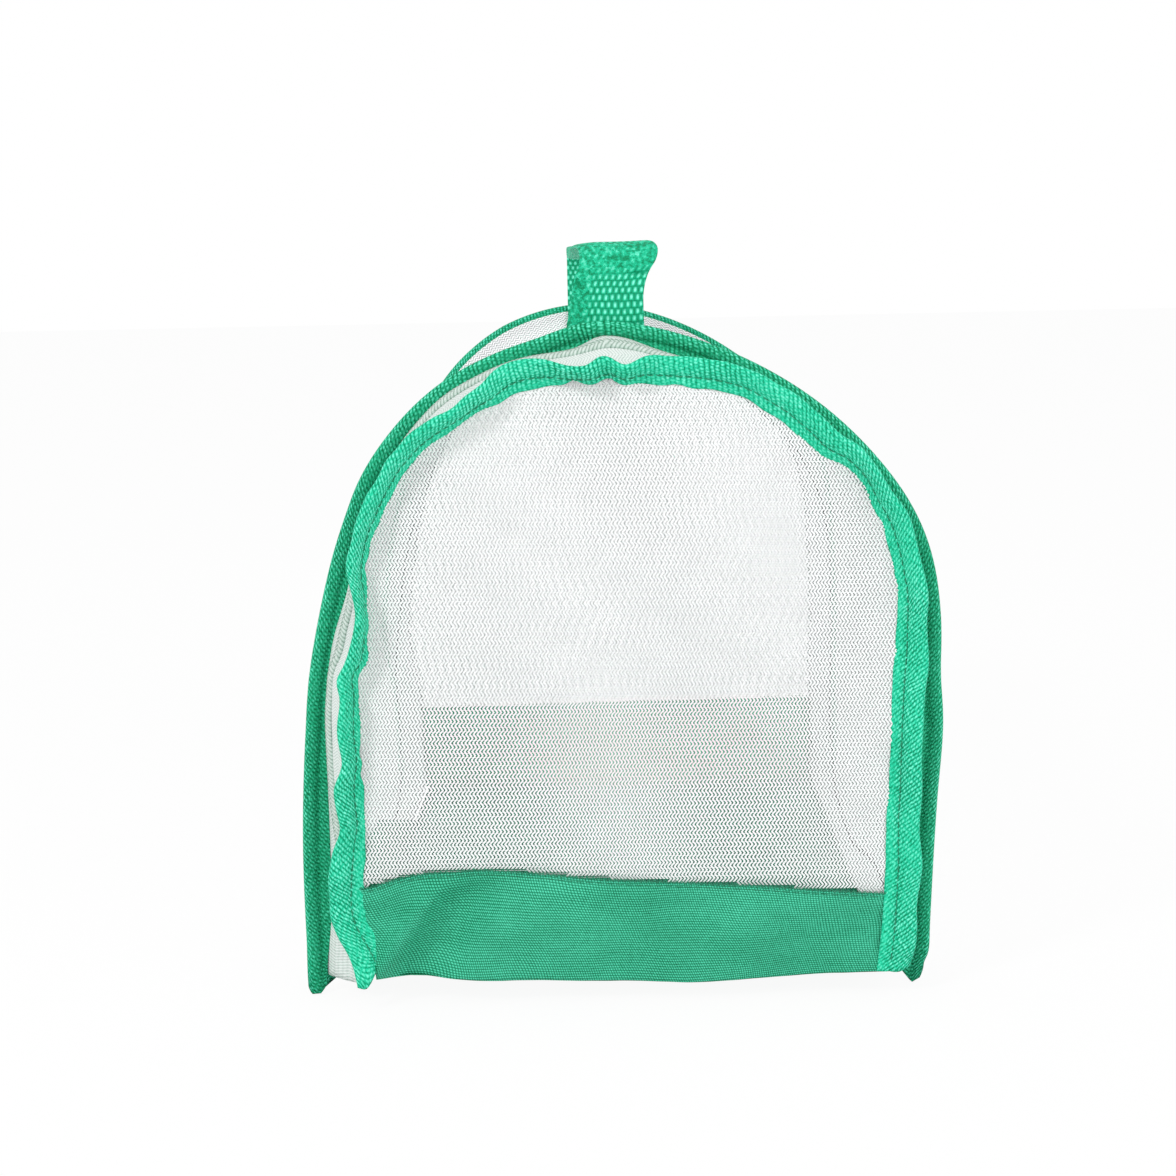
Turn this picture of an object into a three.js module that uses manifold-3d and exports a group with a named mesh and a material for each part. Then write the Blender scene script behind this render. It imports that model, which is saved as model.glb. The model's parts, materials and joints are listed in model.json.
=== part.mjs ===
// A soft insect cage: a tunnel of net on two wire hoops, with a zipped door of net in front,
// a floor and foot strips of green cloth, bound edges, and a webbing handle along the roof.
// Millimetres, +Z up, the door towards -Y. The origin is on the ground under the middle.
import * as THREE from "three";
import { mergeVertices } from "three/addons/utils/BufferGeometryUtils.js";
import Module from "manifold-3d";

const wasm = await Module();
wasm.setup();

// The cage's section: the seam line that both hoops, the walls and the roof follow
const seamHalfWidth = 70.5;
const crownOffset = 5.5; // each crown arc's centre lies this far past the middle
const legHeight = 85.5;
const legBow = 3; // how far the legs draw in from their top down to the ground
const tunnelLength = 224; // from the front hoop's plane to the rear hoop's
const tunnelDraw = 2.2; // how far the walls and the roof draw in halfway between the hoops
const tunnelSteps = 6;
const legSteps = 4;
const crownSteps = 10;

// How the soft arch stands: its crown leans, and its feet stand a little apart
const leanStart = 66; // the height from which it leans
const leanShoulder = 3.8; // how far its shoulders lean to the right
const leanCrown = 2.5; // how far its crown comes back to the left
const leanDrop = 1.1; // how far its right side sinks, and its left side rises
const leftFootSpread = 4.4;
const rightFootSpread = 1.1;

// Cloth and sewing
const clothThickness = 0.6;
const sewnGap = 0.26; // between two layers sewn together
const restGap = 0.3; // between a piece and what it rests on

// Bindings and hoop wires
const bindingWall = 0.8;
const hoopBindingHeight = 9;
const doorBindingHeight = 8.5;
const foldSteps = 3;
const wireDiameter = 1.6;
const wireGap = 0.2;
const wireEndHeight = 2;
const wireSides = 8;

// The door
const doorForward = 12; // from the front hoop's plane to the door's
const doorInset = 4.8; // the door's seam line lies this far inside the hoops'
const doorSwell = 5.5; // and swells out again by this much at the shoulders of the crown
const doorFoot = 5; // the door's lower edge above the ground
const stripTop = 30; // the green strips' upper edge above the ground

// The zipper
const chainPlaceShare = 0.42; // where the chain lies between the two seams
const tapeGap = 1.8;
const coilWidth = 1.4;
const coilHeight = 1.2;
const coilRidgeShare = 0.5;
const toothPitch = 3.2;
const toothWidth = 1;
const toothReach = 0.6; // how far a tooth passes the middle of the chain
const toothTipShare = 0.45;
const coilEnd = 2; // plain coil before the first tooth

// The slider, parked at the foot of the right leg, below the end of the door's tape
const sliderFoot = 12;
const sliderLength = 8;
const sliderWidth = 6.4;
const sliderNoseShare = 0.7; // the width of its two ends
const sliderShoulderShare = 0.3;
const sliderPlate = 0.9;
const sliderWall = 0.5;
const sliderRun = 0.35; // clearance to the tape and the coil
const sliderTravel = 46;
const wedgeWidth = 1.1;
const wedgeLength = 2.6;
const bridgeWidth = 1;
const bridgeBar = 0.7;
const bridgePlaceShare = 0.55;
const pullRun = 0.2;
const pullLength = 11;
const pullThickness = 0.7;
const pullRim = 0.7;
const pullEndSteps = 6;

// The nets
const netGapWidth = 11.4;
const netGapHeight = 8.6;
const netPitchAcross = 15;
const netPitchUp = 6.2;
const netMargin = 2.2; // plain net between a gap and the edge of the panel

// Floor and handle
const floorThickness = 0.8;
const floorLip = 8;
const strapWidth = 20;
const strapThickness = 1.4;
const strapRise = 20; // from the crown of the hoop binding to the top of the strap
const strapBend = 9;
const strapSag = 3;
const strapSteps = 8;
const bendSteps = 4;

// What follows from the sizes above
const crownRadius = seamHalfWidth + crownOffset;
const crownHeight = legHeight + Math.sqrt(crownRadius ** 2 - crownOffset ** 2);
const archHeight = crownHeight + hoopBindingHeight;
const layerPlace = (clothThickness + sewnGap) / 2; // a layer's middle from the binding's middle
const doorCavity = 2 * clothThickness + 3 * sewnGap;
const hoopCavity = Math.max(doorCavity, wireDiameter + 2 * wireGap);
const doorPlane = -doorForward;

const looks = {
  binding: { color: 0x2dbe91, roughness: 0.75, metalness: 0 },
  doorBinding: { color: 0x2fbe92, roughness: 0.75, metalness: 0 },
  cloth: { color: 0x3cac86, roughness: 0.7, metalness: 0 },
  webbing: { color: 0x35c99c, roughness: 0.7, metalness: 0 },
  net: { color: 0xf1f4f3, roughness: 0.9, metalness: 0 },
  zipper: { color: 0xe4e8e6, roughness: 0.6, metalness: 0 },
  metal: { color: 0xc9cdcc, roughness: 0.3, metalness: 0.9 },
  wire: { color: 0xa9adb0, roughness: 0.4, metalness: 0.9 },
};

// The seam line's half width at a height on the legs
function legHalfWidth(height) {
  const down = (legHeight - height) / legHeight;
  return seamHalfWidth - legBow * down * down;
}

// The same path on the other leg, walked the other way
function mirrored(path) {
  return path.map((at) => ({ ...at, x: -at.x, outX: -at.outX })).reverse();
}

function leftLeg(foot) {
  const leg = [];
  for (let i = 0; i < legSteps; i++) {
    const height = foot + ((legHeight - foot) * i) / legSteps;
    leg.push({ x: -legHalfWidth(height), z: height, outX: -1, outZ: 0, swell: 0 });
  }
  return leg;
}

function leftCrown(mostSwell) {
  const crown = [];
  const apexAngle = Math.acos(crownOffset / crownRadius);
  for (let i = 0; i < crownSteps; i++) {
    const share = i / crownSteps;
    const outX = -Math.cos(apexAngle * share);
    const outZ = Math.sin(apexAngle * share);
    const x = crownOffset + crownRadius * outX;
    const z = legHeight + crownRadius * outZ;
    crown.push({ x, z, outX, outZ, swell: mostSwell * Math.sin(Math.PI * share) });
  }
  return crown;
}

// Stations along the arch, from the left foot over the crown to the right foot: a point of the
// seam line, the direction that leads out of the cage there, and how far the door's seam swells
function archPath(leftFoot, rightFoot, mostSwell = 0) {
  const apex = { x: 0, z: crownHeight, outX: 0, outZ: 1, swell: 0 };
  const crown = leftCrown(mostSwell);
  const left = [...leftLeg(leftFoot), ...crown];
  const right = mirrored([...leftLeg(rightFoot), ...crown]);
  return [...left, apex, ...right];
}

function geometryFrom(positions, indices) {
  const geometry = new THREE.BufferGeometry();
  geometry.setAttribute("position", new THREE.Float32BufferAttribute(positions, 3));
  geometry.setIndex(indices);
  return facingOut(geometry);
}

// Turns every face round if the solid is inside out
function facingOut(geometry) {
  const at = geometry.getAttribute("position");
  const index = geometry.getIndex().array;
  const a = new THREE.Vector3();
  const b = new THREE.Vector3();
  const c = new THREE.Vector3();
  let volume = 0;
  for (let i = 0; i < index.length; i += 3) {
    a.fromBufferAttribute(at, index[i]);
    b.fromBufferAttribute(at, index[i + 1]);
    c.fromBufferAttribute(at, index[i + 2]);
    volume += a.dot(b.cross(c));
  }
  if (volume < 0) {
    for (let i = 0; i < index.length; i += 3) {
      [index[i + 1], index[i + 2]] = [index[i + 2], index[i + 1]];
    }
  }
  geometry.computeVertexNormals();
  return geometry;
}

// The point at a place off a station. What lies forward of the hoop's seam swells with the door's.
function placed(at, out, depth) {
  const forward = (hoopSeam.y - depth) / (hoopSeam.y - doorSeam.y);
  const reach = out + at.swell * Math.min(Math.max(forward, 0), 1);
  return [at.x + at.outX * reach, depth, at.z + at.outZ * reach];
}

// Carries a closed section, points of (out, depth), along the stations of a path
function sweepSection(path, section) {
  return sweepChanging(path, () => section);
}

// The same with a section that changes on the way, but is alike at both ends
function sweepChanging(path, sectionAt) {
  const contourAt = (at) => sectionAt(at).map(([out, depth]) => new THREE.Vector2(out, depth));
  const contour = contourAt(path[0]);
  const turned = THREE.ShapeUtils.isClockWise(contour);
  if (turned) contour.reverse();
  const count = contour.length;
  const positions = [];
  for (const at of path) {
    const ring = contourAt(at);
    if (turned) ring.reverse();
    for (const { x: out, y: depth } of ring) positions.push(...placed(at, out, depth));
  }
  const indices = [];
  for (let i = 0; i + 1 < path.length; i++) {
    for (let k = 0; k < count; k++) {
      const next = (k + 1) % count;
      const here = i * count;
      const there = here + count;
      indices.push(here + k, there + k, there + next, here + k, there + next, here + next);
    }
  }
  const last = (path.length - 1) * count;
  for (const [a, b, c] of THREE.ShapeUtils.triangulateShape(contour, [])) {
    indices.push(a, b, c, last + c, last + b, last + a);
  }
  return geometryFrom(positions, indices);
}

// The outline of a sheet of one thickness whose middle follows a line of (x, y) points
function sheetSection(line, thickness) {
  const sides = [[], []];
  line.forEach((point, i) => {
    const before = line[Math.max(i - 1, 0)];
    const after = line[Math.min(i + 1, line.length - 1)];
    const inward = new THREE.Vector2(point[0] - before[0], point[1] - before[1]);
    const onward = new THREE.Vector2(after[0] - point[0], after[1] - point[1]);
    if (inward.length() === 0) inward.copy(onward);
    if (onward.length() === 0) onward.copy(inward);
    inward.normalize();
    onward.normalize();
    const along = inward.clone().add(onward).normalize();
    const reach = thickness / 2 / along.dot(onward);
    sides[0].push([point[0] - along.y * reach, point[1] + along.x * reach]);
    sides[1].push([point[0] + along.y * reach, point[1] - along.x * reach]);
  });
  return [...sides[0], ...sides[1].reverse()];
}

// A tape folded over the sewn edges: two flat legs, which start above the seam, and a round fold
function bindingSection(seamOut, start, plane, height, cavity) {
  const outer = cavity / 2 + bindingWall;
  const foot = seamOut + start;
  const centre = seamOut + height - outer;
  const fold = (radius, turn) => {
    const arc = [];
    for (let i = 0; i <= foldSteps; i++) {
      const angle = turn * Math.PI * (i / foldSteps - 1 / 2);
      arc.push([centre + radius * Math.cos(angle), plane + radius * Math.sin(angle)]);
    }
    return arc;
  };
  return [
    [foot, plane - outer],
    ...fold(outer, 1),
    [foot, plane + outer],
    [foot, plane + cavity / 2],
    ...fold(cavity / 2, -1),
    [foot, plane - cavity / 2],
  ];
}

// How far out of the seam line the hoop wire's middle lies, and the cloth edges below it
const wirePlace = hoopBindingHeight - hoopCavity / 2 - bindingWall;
const hoopFlange = wirePlace - wireDiameter / 2 - sewnGap;
const doorFlange = doorBindingHeight - doorCavity / 2 - bindingWall - doorInset;

function hoopBinding(plane) {
  const start = clothThickness + sewnGap;
  const section = bindingSection(0, start, plane, hoopBindingHeight, hoopCavity);
  return sweepSection(archPath(0, 0), section);
}

// The zipper's band climbs outwards behind this binding, whose legs start clear of it
function doorBinding() {
  const behindSeam = doorCavity / 2 + bindingWall - layerPlace;
  const climb = behindSeam * (bandAcross.x / bandAcross.y);
  const start = climb + (clothThickness / 2 + sewnGap) / Math.abs(bandAcross.y);
  const section = bindingSection(-doorInset, start, doorPlane, doorBindingHeight, doorCavity);
  return sweepSection(archPath(doorFoot, doorFoot, doorSwell), section);
}

function hoopWire(plane) {
  const section = [];
  for (let i = 0; i < wireSides; i++) {
    const angle = (2 * Math.PI * (i + 1 / 2)) / wireSides;
    const radius = wireDiameter / 2;
    section.push([wirePlace + radius * Math.cos(angle), plane + radius * Math.sin(angle)]);
  }
  return sweepSection(archPath(wireEndHeight, wireEndHeight), section);
}

// One sheet makes both walls and the roof, with its edges turned out into the bindings. It draws
// in between the hoops, but stands straight beside the turned-up edges of the floor.
function tunnel() {
  const near = layerPlace;
  const far = tunnelLength - layerPlace;
  const skin = clothThickness / 2;
  const lipTop = floorLip + restGap;
  const sectionAt = (at) => {
    const slack = Math.min(Math.max(at.z / lipTop - 1, 0), 1);
    const line = [[hoopFlange, near]];
    for (let i = 0; i <= tunnelSteps; i++) {
      const share = i / tunnelSteps;
      const draw = slack * tunnelDraw * Math.sin(Math.PI * share);
      line.push([skin - draw, near + (far - near) * share]);
    }
    line.push([hoopFlange, far]);
    return sheetSection(line, clothThickness);
  };
  const foot = leftLeg(0).slice(0, 1);
  return sweepChanging([...foot, ...archPath(lipTop, lipTop), ...mirrored(foot)], sectionAt);
}

// The zipper's band leads from the hoop's seam to the door's. Its own directions are across,
// towards the door, and up, off its outer face.
const hoopSeam = new THREE.Vector2(0, -layerPlace);
const doorSeam = new THREE.Vector2(-doorInset, doorPlane + layerPlace);
const bandAcross = doorSeam.clone().sub(hoopSeam).normalize();
const bandUp = new THREE.Vector2(-bandAcross.y, bandAcross.x);
const chainPlace = hoopSeam.clone().lerp(doorSeam, chainPlaceShare);
const coilBase = clothThickness / 2 + sewnGap;
const coilTop = coilBase + coilHeight;

// A point of the zipper's band, as (out, depth), from its place across the chain and its height
function bandPoint(across, up) {
  const point = chainPlace.clone().addScaledVector(bandAcross, across).addScaledVector(bandUp, up);
  return [point.x, point.y];
}

// Where the door's tape and both coils end on the right leg, above the parked slider
const chainRightFoot = sliderFoot + sliderLength + 2 * restGap;

function hoopTape() {
  const line = [[hoopFlange, hoopSeam.y], hoopSeam.toArray(), bandPoint(-tapeGap / 2, 0)];
  return sweepSection(archPath(restGap, restGap, doorSwell), sheetSection(line, clothThickness));
}

function doorTape() {
  const line = [[doorFlange, doorSeam.y], doorSeam.toArray(), bandPoint(tapeGap / 2, 0)];
  const path = archPath(doorFoot, chainRightFoot, doorSwell);
  return sweepSection(path, sheetSection(line, clothThickness));
}

function pathLength(path) {
  let length = 0;
  for (let i = 0; i + 1 < path.length; i++) {
    length += Math.hypot(path[i + 1].x - path[i].x, path[i + 1].z - path[i].z);
  }
  return length;
}

// The station at a distance along a path
function stationAt(path, distance) {
  let rest = distance;
  for (let i = 0; i + 1 < path.length; i++) {
    const here = path[i];
    const next = path[i + 1];
    const step = Math.hypot(next.x - here.x, next.z - here.z);
    if (rest <= step || i + 2 === path.length) {
      const share = rest / step;
      const between = (key) => [key, here[key] + (next[key] - here[key]) * share];
      return Object.fromEntries(Object.keys(here).map(between));
    }
    rest -= step;
  }
  return path[path.length - 1];
}

// A coil: a ridge sewn along the tape's edge, with teeth that reach past the middle of the
// chain, each between two of the other side. side is -1 on the hoop's tape and 1 on the door's.
function coil(side) {
  const edge = (side * tapeGap) / 2;
  const corners = [
    bandPoint(edge + side * coilWidth, coilBase),
    bandPoint(edge, coilBase),
    bandPoint(-side * toothReach, coilBase + coilHeight * toothTipShare),
    bandPoint(edge + side * coilWidth * coilRidgeShare, coilTop),
  ];
  const path = archPath(doorFoot, chainRightFoot, doorSwell);
  const length = pathLength(path);
  const shift = side < 0 ? 0 : toothPitch / 2;
  const positions = [];
  const indices = [];
  let rings = 0;
  const addRing = (distance) => {
    const at = stationAt(path, distance);
    for (const [out, depth] of corners) positions.push(...placed(at, out, depth));
    rings += 1;
  };
  const joinRings = (loop) => {
    const here = (rings - 2) * corners.length;
    const there = (rings - 1) * corners.length;
    loop.forEach((k, i) => {
      const next = loop[(i + 1) % loop.length];
      indices.push(here + k, there + k, there + next, here + k, there + next, here + next);
    });
  };
  const ridge = [0, 1, 3];
  const tooth = [0, 1, 2, 3];
  addRing(0);
  indices.push(0, 1, 3);
  for (let start = coilEnd + shift; start + toothPitch < length - coilEnd; start += toothPitch) {
    addRing(start);
    joinRings(ridge);
    const root = (rings - 1) * corners.length;
    indices.push(root + 3, root + 1, root + 2);
    addRing(start + toothWidth);
    joinRings(tooth);
    const tip = (rings - 1) * corners.length;
    indices.push(tip + 1, tip + 3, tip + 2);
  }
  addRing(length);
  joinRings(ridge);
  const last = (rings - 1) * corners.length;
  indices.push(last + 3, last + 1, last);
  return withoutLooseVertices(geometryFrom(positions, indices));
}

function withoutLooseVertices(geometry) {
  const flat = geometry.toNonIndexed();
  flat.deleteAttribute("normal");
  return mergeVertices(flat);
}

// A flat piece drawn in the plane of a hoop, as (x, z), whose middle lies at a depth
function uprightSheet(shape, thickness, depth) {
  const geometry = new THREE.ExtrudeGeometry(shape, { depth: thickness, bevelEnabled: false });
  geometry.rotateX(Math.PI / 2);
  geometry.translate(0, depth + thickness / 2, 0);
  return geometry;
}

function insideArch(x, z, out) {
  if (z < legHeight) return Math.abs(x) < legHalfWidth(z) + out;
  return Math.hypot(Math.abs(x) + crownOffset, z - legHeight) < crownRadius + out;
}

// A diamond-shaped gap of the net
function netGap(x, z) {
  const gap = new THREE.Path();
  gap.moveTo(x - netGapWidth / 2, z);
  gap.lineTo(x, z - netGapHeight / 2);
  gap.lineTo(x + netGapWidth / 2, z);
  gap.lineTo(x, z + netGapHeight / 2);
  gap.closePath();
  return gap;
}

// A net panel under an arch: staggered rows of gaps inside a plain edge that goes into the binding
function netPanel(seamOut, flange, mostSwell, depth) {
  const foot = stripTop + restGap;
  const outline = archPath(foot, foot, mostSwell).map((at) => placed(at, flange, depth));
  const panel = new THREE.Shape(outline.map(([x, , z]) => new THREE.Vector2(x, z)));
  const firstRow = foot + netMargin + netGapHeight / 2;
  for (let row = 0; firstRow + row * netPitchUp < crownHeight; row++) {
    const z = firstRow + row * netPitchUp;
    const shift = (row % 2) / 2;
    const reach = Math.ceil(seamHalfWidth / netPitchAcross);
    for (let i = -reach; i <= reach; i++) {
      const x = (i + shift) * netPitchAcross;
      const edge = seamOut - netMargin;
      const sides = [-1, 1].every((end) => insideArch(x + (end * netGapWidth) / 2, z, edge));
      const tip = insideArch(x, z + netGapHeight / 2, edge);
      if (sides && tip) panel.holes.push(netGap(x, z));
    }
  }
  return uprightSheet(panel, clothThickness, depth);
}

// The green strip under a net panel
function footStrip(foot, flange, depth) {
  const side = [];
  for (let i = 0; i <= legSteps; i++) {
    const height = foot + ((stripTop - foot) * i) / legSteps;
    side.push(new THREE.Vector2(legHalfWidth(height) + flange, height));
  }
  const other = side.map((point) => new THREE.Vector2(-point.x, point.y)).reverse();
  return uprightSheet(new THREE.Shape([...side, ...other]), clothThickness, depth);
}

// The floor, with its side edges turned up inside the walls
function floorPanel() {
  const half = legHalfWidth(0) - restGap;
  const inner = half - floorThickness;
  const outline = [
    [-half, 0],
    [half, 0],
    [half, floorLip],
    [inner, floorLip],
    [inner, floorThickness],
    [-inner, floorThickness],
    [-inner, floorLip],
    [-half, floorLip],
  ].map(([x, z]) => new THREE.Vector2(x, z));
  const rear = tunnelLength + sewnGap / 2 - restGap;
  const length = rear - restGap / 2;
  return uprightSheet(new THREE.Shape(outline), length, rear - length / 2);
}

// The sill climbs from the floor to the foot of the door, between the two tapes
function frontSill() {
  const near = doorPlane - sewnGap / 2 + restGap;
  const far = -restGap / 2;
  const halfAt = (depth) => {
    const band = (bandAcross.x / bandAcross.y) * (depth - hoopSeam.y);
    return legHalfWidth(0) + Math.min(band, 0) - clothThickness - restGap;
  };
  const plan = [
    [-halfAt(near), near],
    [halfAt(near), near],
    [halfAt(far), far],
    [-halfAt(far), far],
  ].map(([x, depth]) => new THREE.Vector2(x, depth));
  const sheet = { depth: floorThickness, bevelEnabled: false };
  const geometry = new THREE.ExtrudeGeometry(new THREE.Shape(plan), sheet);
  const slope = doorFoot / (near - far);
  const climb = new THREE.Matrix4().set(1, 0, 0, 0, 0, 1, 0, 0, 0, slope, 1, -far * slope, 0, 0, 0, 1);
  return geometry.applyMatrix4(climb);
}

// The strap's middle line seen from the side, as (depth, height), from foot to foot
function strapLine() {
  const foot = hoopCavity / 2 + bindingWall + restGap + strapThickness / 2;
  const base = crownHeight + clothThickness + restGap;
  const top = crownHeight + hoopBindingHeight + strapRise - strapThickness / 2;
  const bend = [];
  for (let i = 0; i <= bendSteps; i++) {
    const angle = Math.PI * (1 - i / bendSteps / 2);
    bend.push([
      foot + strapBend + strapBend * Math.cos(angle),
      top - strapBend + strapBend * Math.sin(angle),
    ]);
  }
  const near = [[foot, base], ...bend];
  const far = near.map(([depth, height]) => [tunnelLength - depth, height]).reverse();
  const span = [];
  for (let i = 1; i < strapSteps; i++) {
    const share = i / strapSteps;
    const depth = foot + strapBend + (tunnelLength - 2 * (foot + strapBend)) * share;
    span.push([depth, top - strapSag * Math.sin(Math.PI * share)]);
  }
  return [...near, ...span, ...far];
}

function handleStrap() {
  const outline = sheetSection(strapLine(), strapThickness).map(([y, z]) => new THREE.Vector2(y, z));
  const band = { depth: strapWidth, bevelEnabled: false };
  const geometry = new THREE.ExtrudeGeometry(new THREE.Shape(outline), band);
  const acrossRoof = new THREE.Matrix4().makeBasis(
    new THREE.Vector3(0, 1, 0),
    new THREE.Vector3(0, 0, 1),
    new THREE.Vector3(1, 0, 0),
  );
  geometry.applyMatrix4(acrossRoof);
  return geometry.translate(-strapWidth / 2, 0, 0);
}

function toSolid(geometry) {
  const plain = geometry.index ? geometry.toNonIndexed() : geometry.clone();
  plain.deleteAttribute("normal");
  plain.deleteAttribute("uv");
  const merged = mergeVertices(plain);
  const vertProperties = merged.getAttribute("position").array;
  const triVerts = new Uint32Array(merged.getIndex().array);
  return new wasm.Manifold(new wasm.Mesh({ numProp: 3, vertProperties, triVerts }));
}

function fromSolid(solid) {
  const mesh = solid.getMesh();
  return geometryFrom(Array.from(mesh.vertProperties), Array.from(mesh.triVerts));
}

function boxBetween(low, high) {
  const size = high.map((value, i) => value - low[i]);
  const box = new THREE.BoxGeometry(...size);
  return box.translate(...low.map((value, i) => value + size[i] / 2));
}

// The slider's own frame: X across towards the hoop, Y up the leg, Z off the band's outer face
const plateTop = coilTop + sliderRun + sliderPlate;
const bridgeWindow = Math.hypot(pullThickness, pullRim) + 2 * pullRun;

function sliderPlateShape() {
  const half = sliderWidth / 2;
  const nose = half * sliderNoseShare;
  const shoulder = sliderLength * sliderShoulderShare;
  const right = [
    [nose, 0],
    [half, shoulder],
    [half, sliderLength - shoulder],
    [nose, sliderLength],
  ];
  const left = right.map(([x, y]) => [-x, y]).reverse();
  return new THREE.Shape([...right, ...left].map(([x, y]) => new THREE.Vector2(x, y)));
}

// Two plates joined by the wedge, with side walls over the coils and a bridge for the pull
function sliderBody() {
  const half = sliderWidth / 2;
  const shoulder = sliderLength * sliderShoulderShare;
  const slot = clothThickness / 2 + sliderRun;
  const plate = () =>
    new THREE.ExtrudeGeometry(sliderPlateShape(), { depth: sliderPlate, bevelEnabled: false });
  const parts = [plate().translate(0, 0, coilTop + sliderRun), plate().translate(0, 0, -slot - sliderPlate)];
  for (const side of [-1, 1]) {
    const walls = [side * half, side * (half - sliderWall)].sort((a, b) => a - b);
    parts.push(
      boxBetween([walls[0], shoulder, slot], [walls[1], sliderLength - shoulder, plateTop - sliderPlate / 2]),
    );
  }
  const wedgeFoot = sliderWall;
  parts.push(
    boxBetween(
      [-wedgeWidth / 2, wedgeFoot, -slot - sliderPlate / 2],
      [wedgeWidth / 2, wedgeFoot + wedgeLength, plateTop - sliderPlate / 2],
    ),
  );
  const middle = sliderLength * bridgePlaceShare;
  const reach = bridgeWindow / 2 + bridgeBar;
  const bridge = toSolid(
    boxBetween(
      [-bridgeWidth / 2, middle - reach, plateTop - sliderPlate / 2],
      [bridgeWidth / 2, middle + reach, plateTop + bridgeWindow + bridgeBar],
    ),
  );
  const window = toSolid(
    boxBetween(
      [-bridgeWidth, middle - bridgeWindow / 2, plateTop],
      [bridgeWidth, middle + bridgeWindow / 2, plateTop + bridgeWindow],
    ),
  );
  const body = parts.map(toSolid).reduce((whole, part) => whole.add(part));
  return fromSolid(body.add(bridge.subtract(window)));
}

// The pull hangs from its upper rim, which lies under the bridge. Its origin is on its pivot.
function pullTab() {
  const half = bridgeWidth / 2 + pullRun + pullRim;
  const eyeEnd = Math.hypot(bridgeWindow / 2 + bridgeBar, bridgeWindow / 2 + bridgeBar) + pullRun;
  const tab = new THREE.Shape();
  tab.moveTo(half, pullRim / 2);
  tab.lineTo(-half, pullRim / 2);
  tab.lineTo(-half, half - pullLength);
  for (let i = 1; i <= pullEndSteps; i++) {
    const angle = Math.PI * (1 + i / pullEndSteps);
    tab.lineTo(half * Math.cos(angle), half - pullLength + half * Math.sin(angle));
  }
  tab.closePath();
  const eye = new THREE.Path();
  const eyeHalf = half - pullRim;
  eye.moveTo(eyeHalf, -pullRim / 2);
  eye.lineTo(-eyeHalf, -pullRim / 2);
  eye.lineTo(-eyeHalf, -eyeEnd);
  eye.lineTo(eyeHalf, -eyeEnd);
  eye.closePath();
  tab.holes.push(eye);
  const geometry = new THREE.ExtrudeGeometry(tab, { depth: pullThickness, bevelEnabled: false });
  return geometry.translate(0, 0, -pullThickness / 2);
}

// Where a point of the soft pieces comes to lie as the arch leans, as (x, z)
function leaned(x, z) {
  const up = Math.min(z / archHeight, 1);
  const lean = Math.min(Math.max((z - leanStart) / (archHeight - leanStart), 0), 1);
  const shift = leanShoulder * Math.sin(Math.PI * lean) - leanCrown * lean * lean;
  const down = Math.max(1 - z / legHeight, 0);
  const across = x / seamHalfWidth;
  const spread = (x < 0 ? leftFootSpread : rightFootSpread) * down * down * across;
  return [x + shift + spread, z - leanDrop * across * up];
}

function leanGeometry(geometry) {
  const at = geometry.getAttribute("position");
  for (let i = 0; i < at.count; i++) {
    const [x, z] = leaned(at.getX(i), at.getZ(i));
    at.setX(i, x);
    at.setZ(i, z);
  }
  geometry.computeVertexNormals();
}

// The slider stands on the chain's middle at the right leg, turned to the leg's slope
function placeSlider(group) {
  const chainAt = (height) => leaned(legHalfWidth(height) + chainPlace.x, height);
  const [lowX, lowZ] = chainAt(sliderFoot);
  const [highX, highZ] = chainAt(sliderFoot + sliderLength + sliderTravel);
  const upLeg = new THREE.Vector3(highX - lowX, 0, highZ - lowZ).normalize();
  const outward = new THREE.Vector3(upLeg.z, 0, -upLeg.x);
  const depthward = new THREE.Vector3(0, 1, 0);
  const inBand = ({ x, y }) =>
    outward.clone().multiplyScalar(x).addScaledVector(depthward, y);
  const turn = new THREE.Matrix4().makeBasis(inBand(bandAcross).negate(), upLeg, inBand(bandUp));
  group.quaternion.setFromRotationMatrix(turn);
  group.position.set(lowX, chainPlace.y, lowZ);
}

function add(group, name, look, geometry) {
  const mesh = new THREE.Mesh(geometry, new THREE.MeshStandardMaterial(looks[look]));
  mesh.name = name;
  group.add(mesh);
  return mesh;
}

function frontHoop() {
  const group = new THREE.Group();
  add(group, "front_hoop_wire", "wire", hoopWire(0));
  add(group, "front_hoop_binding", "binding", hoopBinding(0));
  add(group, "zipper_tape_hoop", "zipper", hoopTape());
  add(group, "zipper_coil_hoop", "zipper", coil(-1));
  add(group, "front_sill", "cloth", frontSill());
  return group;
}

function softBody() {
  const group = new THREE.Group();
  add(group, "tunnel_net", "net", tunnel());
  add(group, "floor_panel", "cloth", floorPanel());
  add(group, "handle_strap", "webbing", handleStrap());
  return group;
}

function rearHoop() {
  const group = new THREE.Group();
  const depth = tunnelLength + layerPlace;
  add(group, "rear_hoop_wire", "wire", hoopWire(tunnelLength));
  add(group, "rear_hoop_binding", "binding", hoopBinding(tunnelLength));
  add(group, "rear_net", "net", netPanel(0, hoopFlange, 0, depth));
  add(group, "rear_strip", "cloth", footStrip(0, hoopFlange, depth));
  return group;
}

function door() {
  const group = new THREE.Group();
  const depth = doorPlane - layerPlace;
  add(group, "door_binding", "doorBinding", doorBinding());
  add(group, "door_net", "net", netPanel(-doorInset, doorFlange, doorSwell, depth));
  add(group, "door_strip", "cloth", footStrip(doorFoot, doorFlange, depth));
  add(group, "zipper_tape_door", "zipper", doorTape());
  add(group, "zipper_coil_door", "zipper", coil(1));
  return group;
}

function slider() {
  const group = new THREE.Group();
  placeSlider(group);
  add(group, "zipper_slider", "metal", sliderBody());
  const pull = add(group, "zipper_pull", "metal", pullTab());
  pull.position.set(0, sliderLength * bridgePlaceShare, plateTop + bridgeWindow / 2);
  return group;
}

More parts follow.
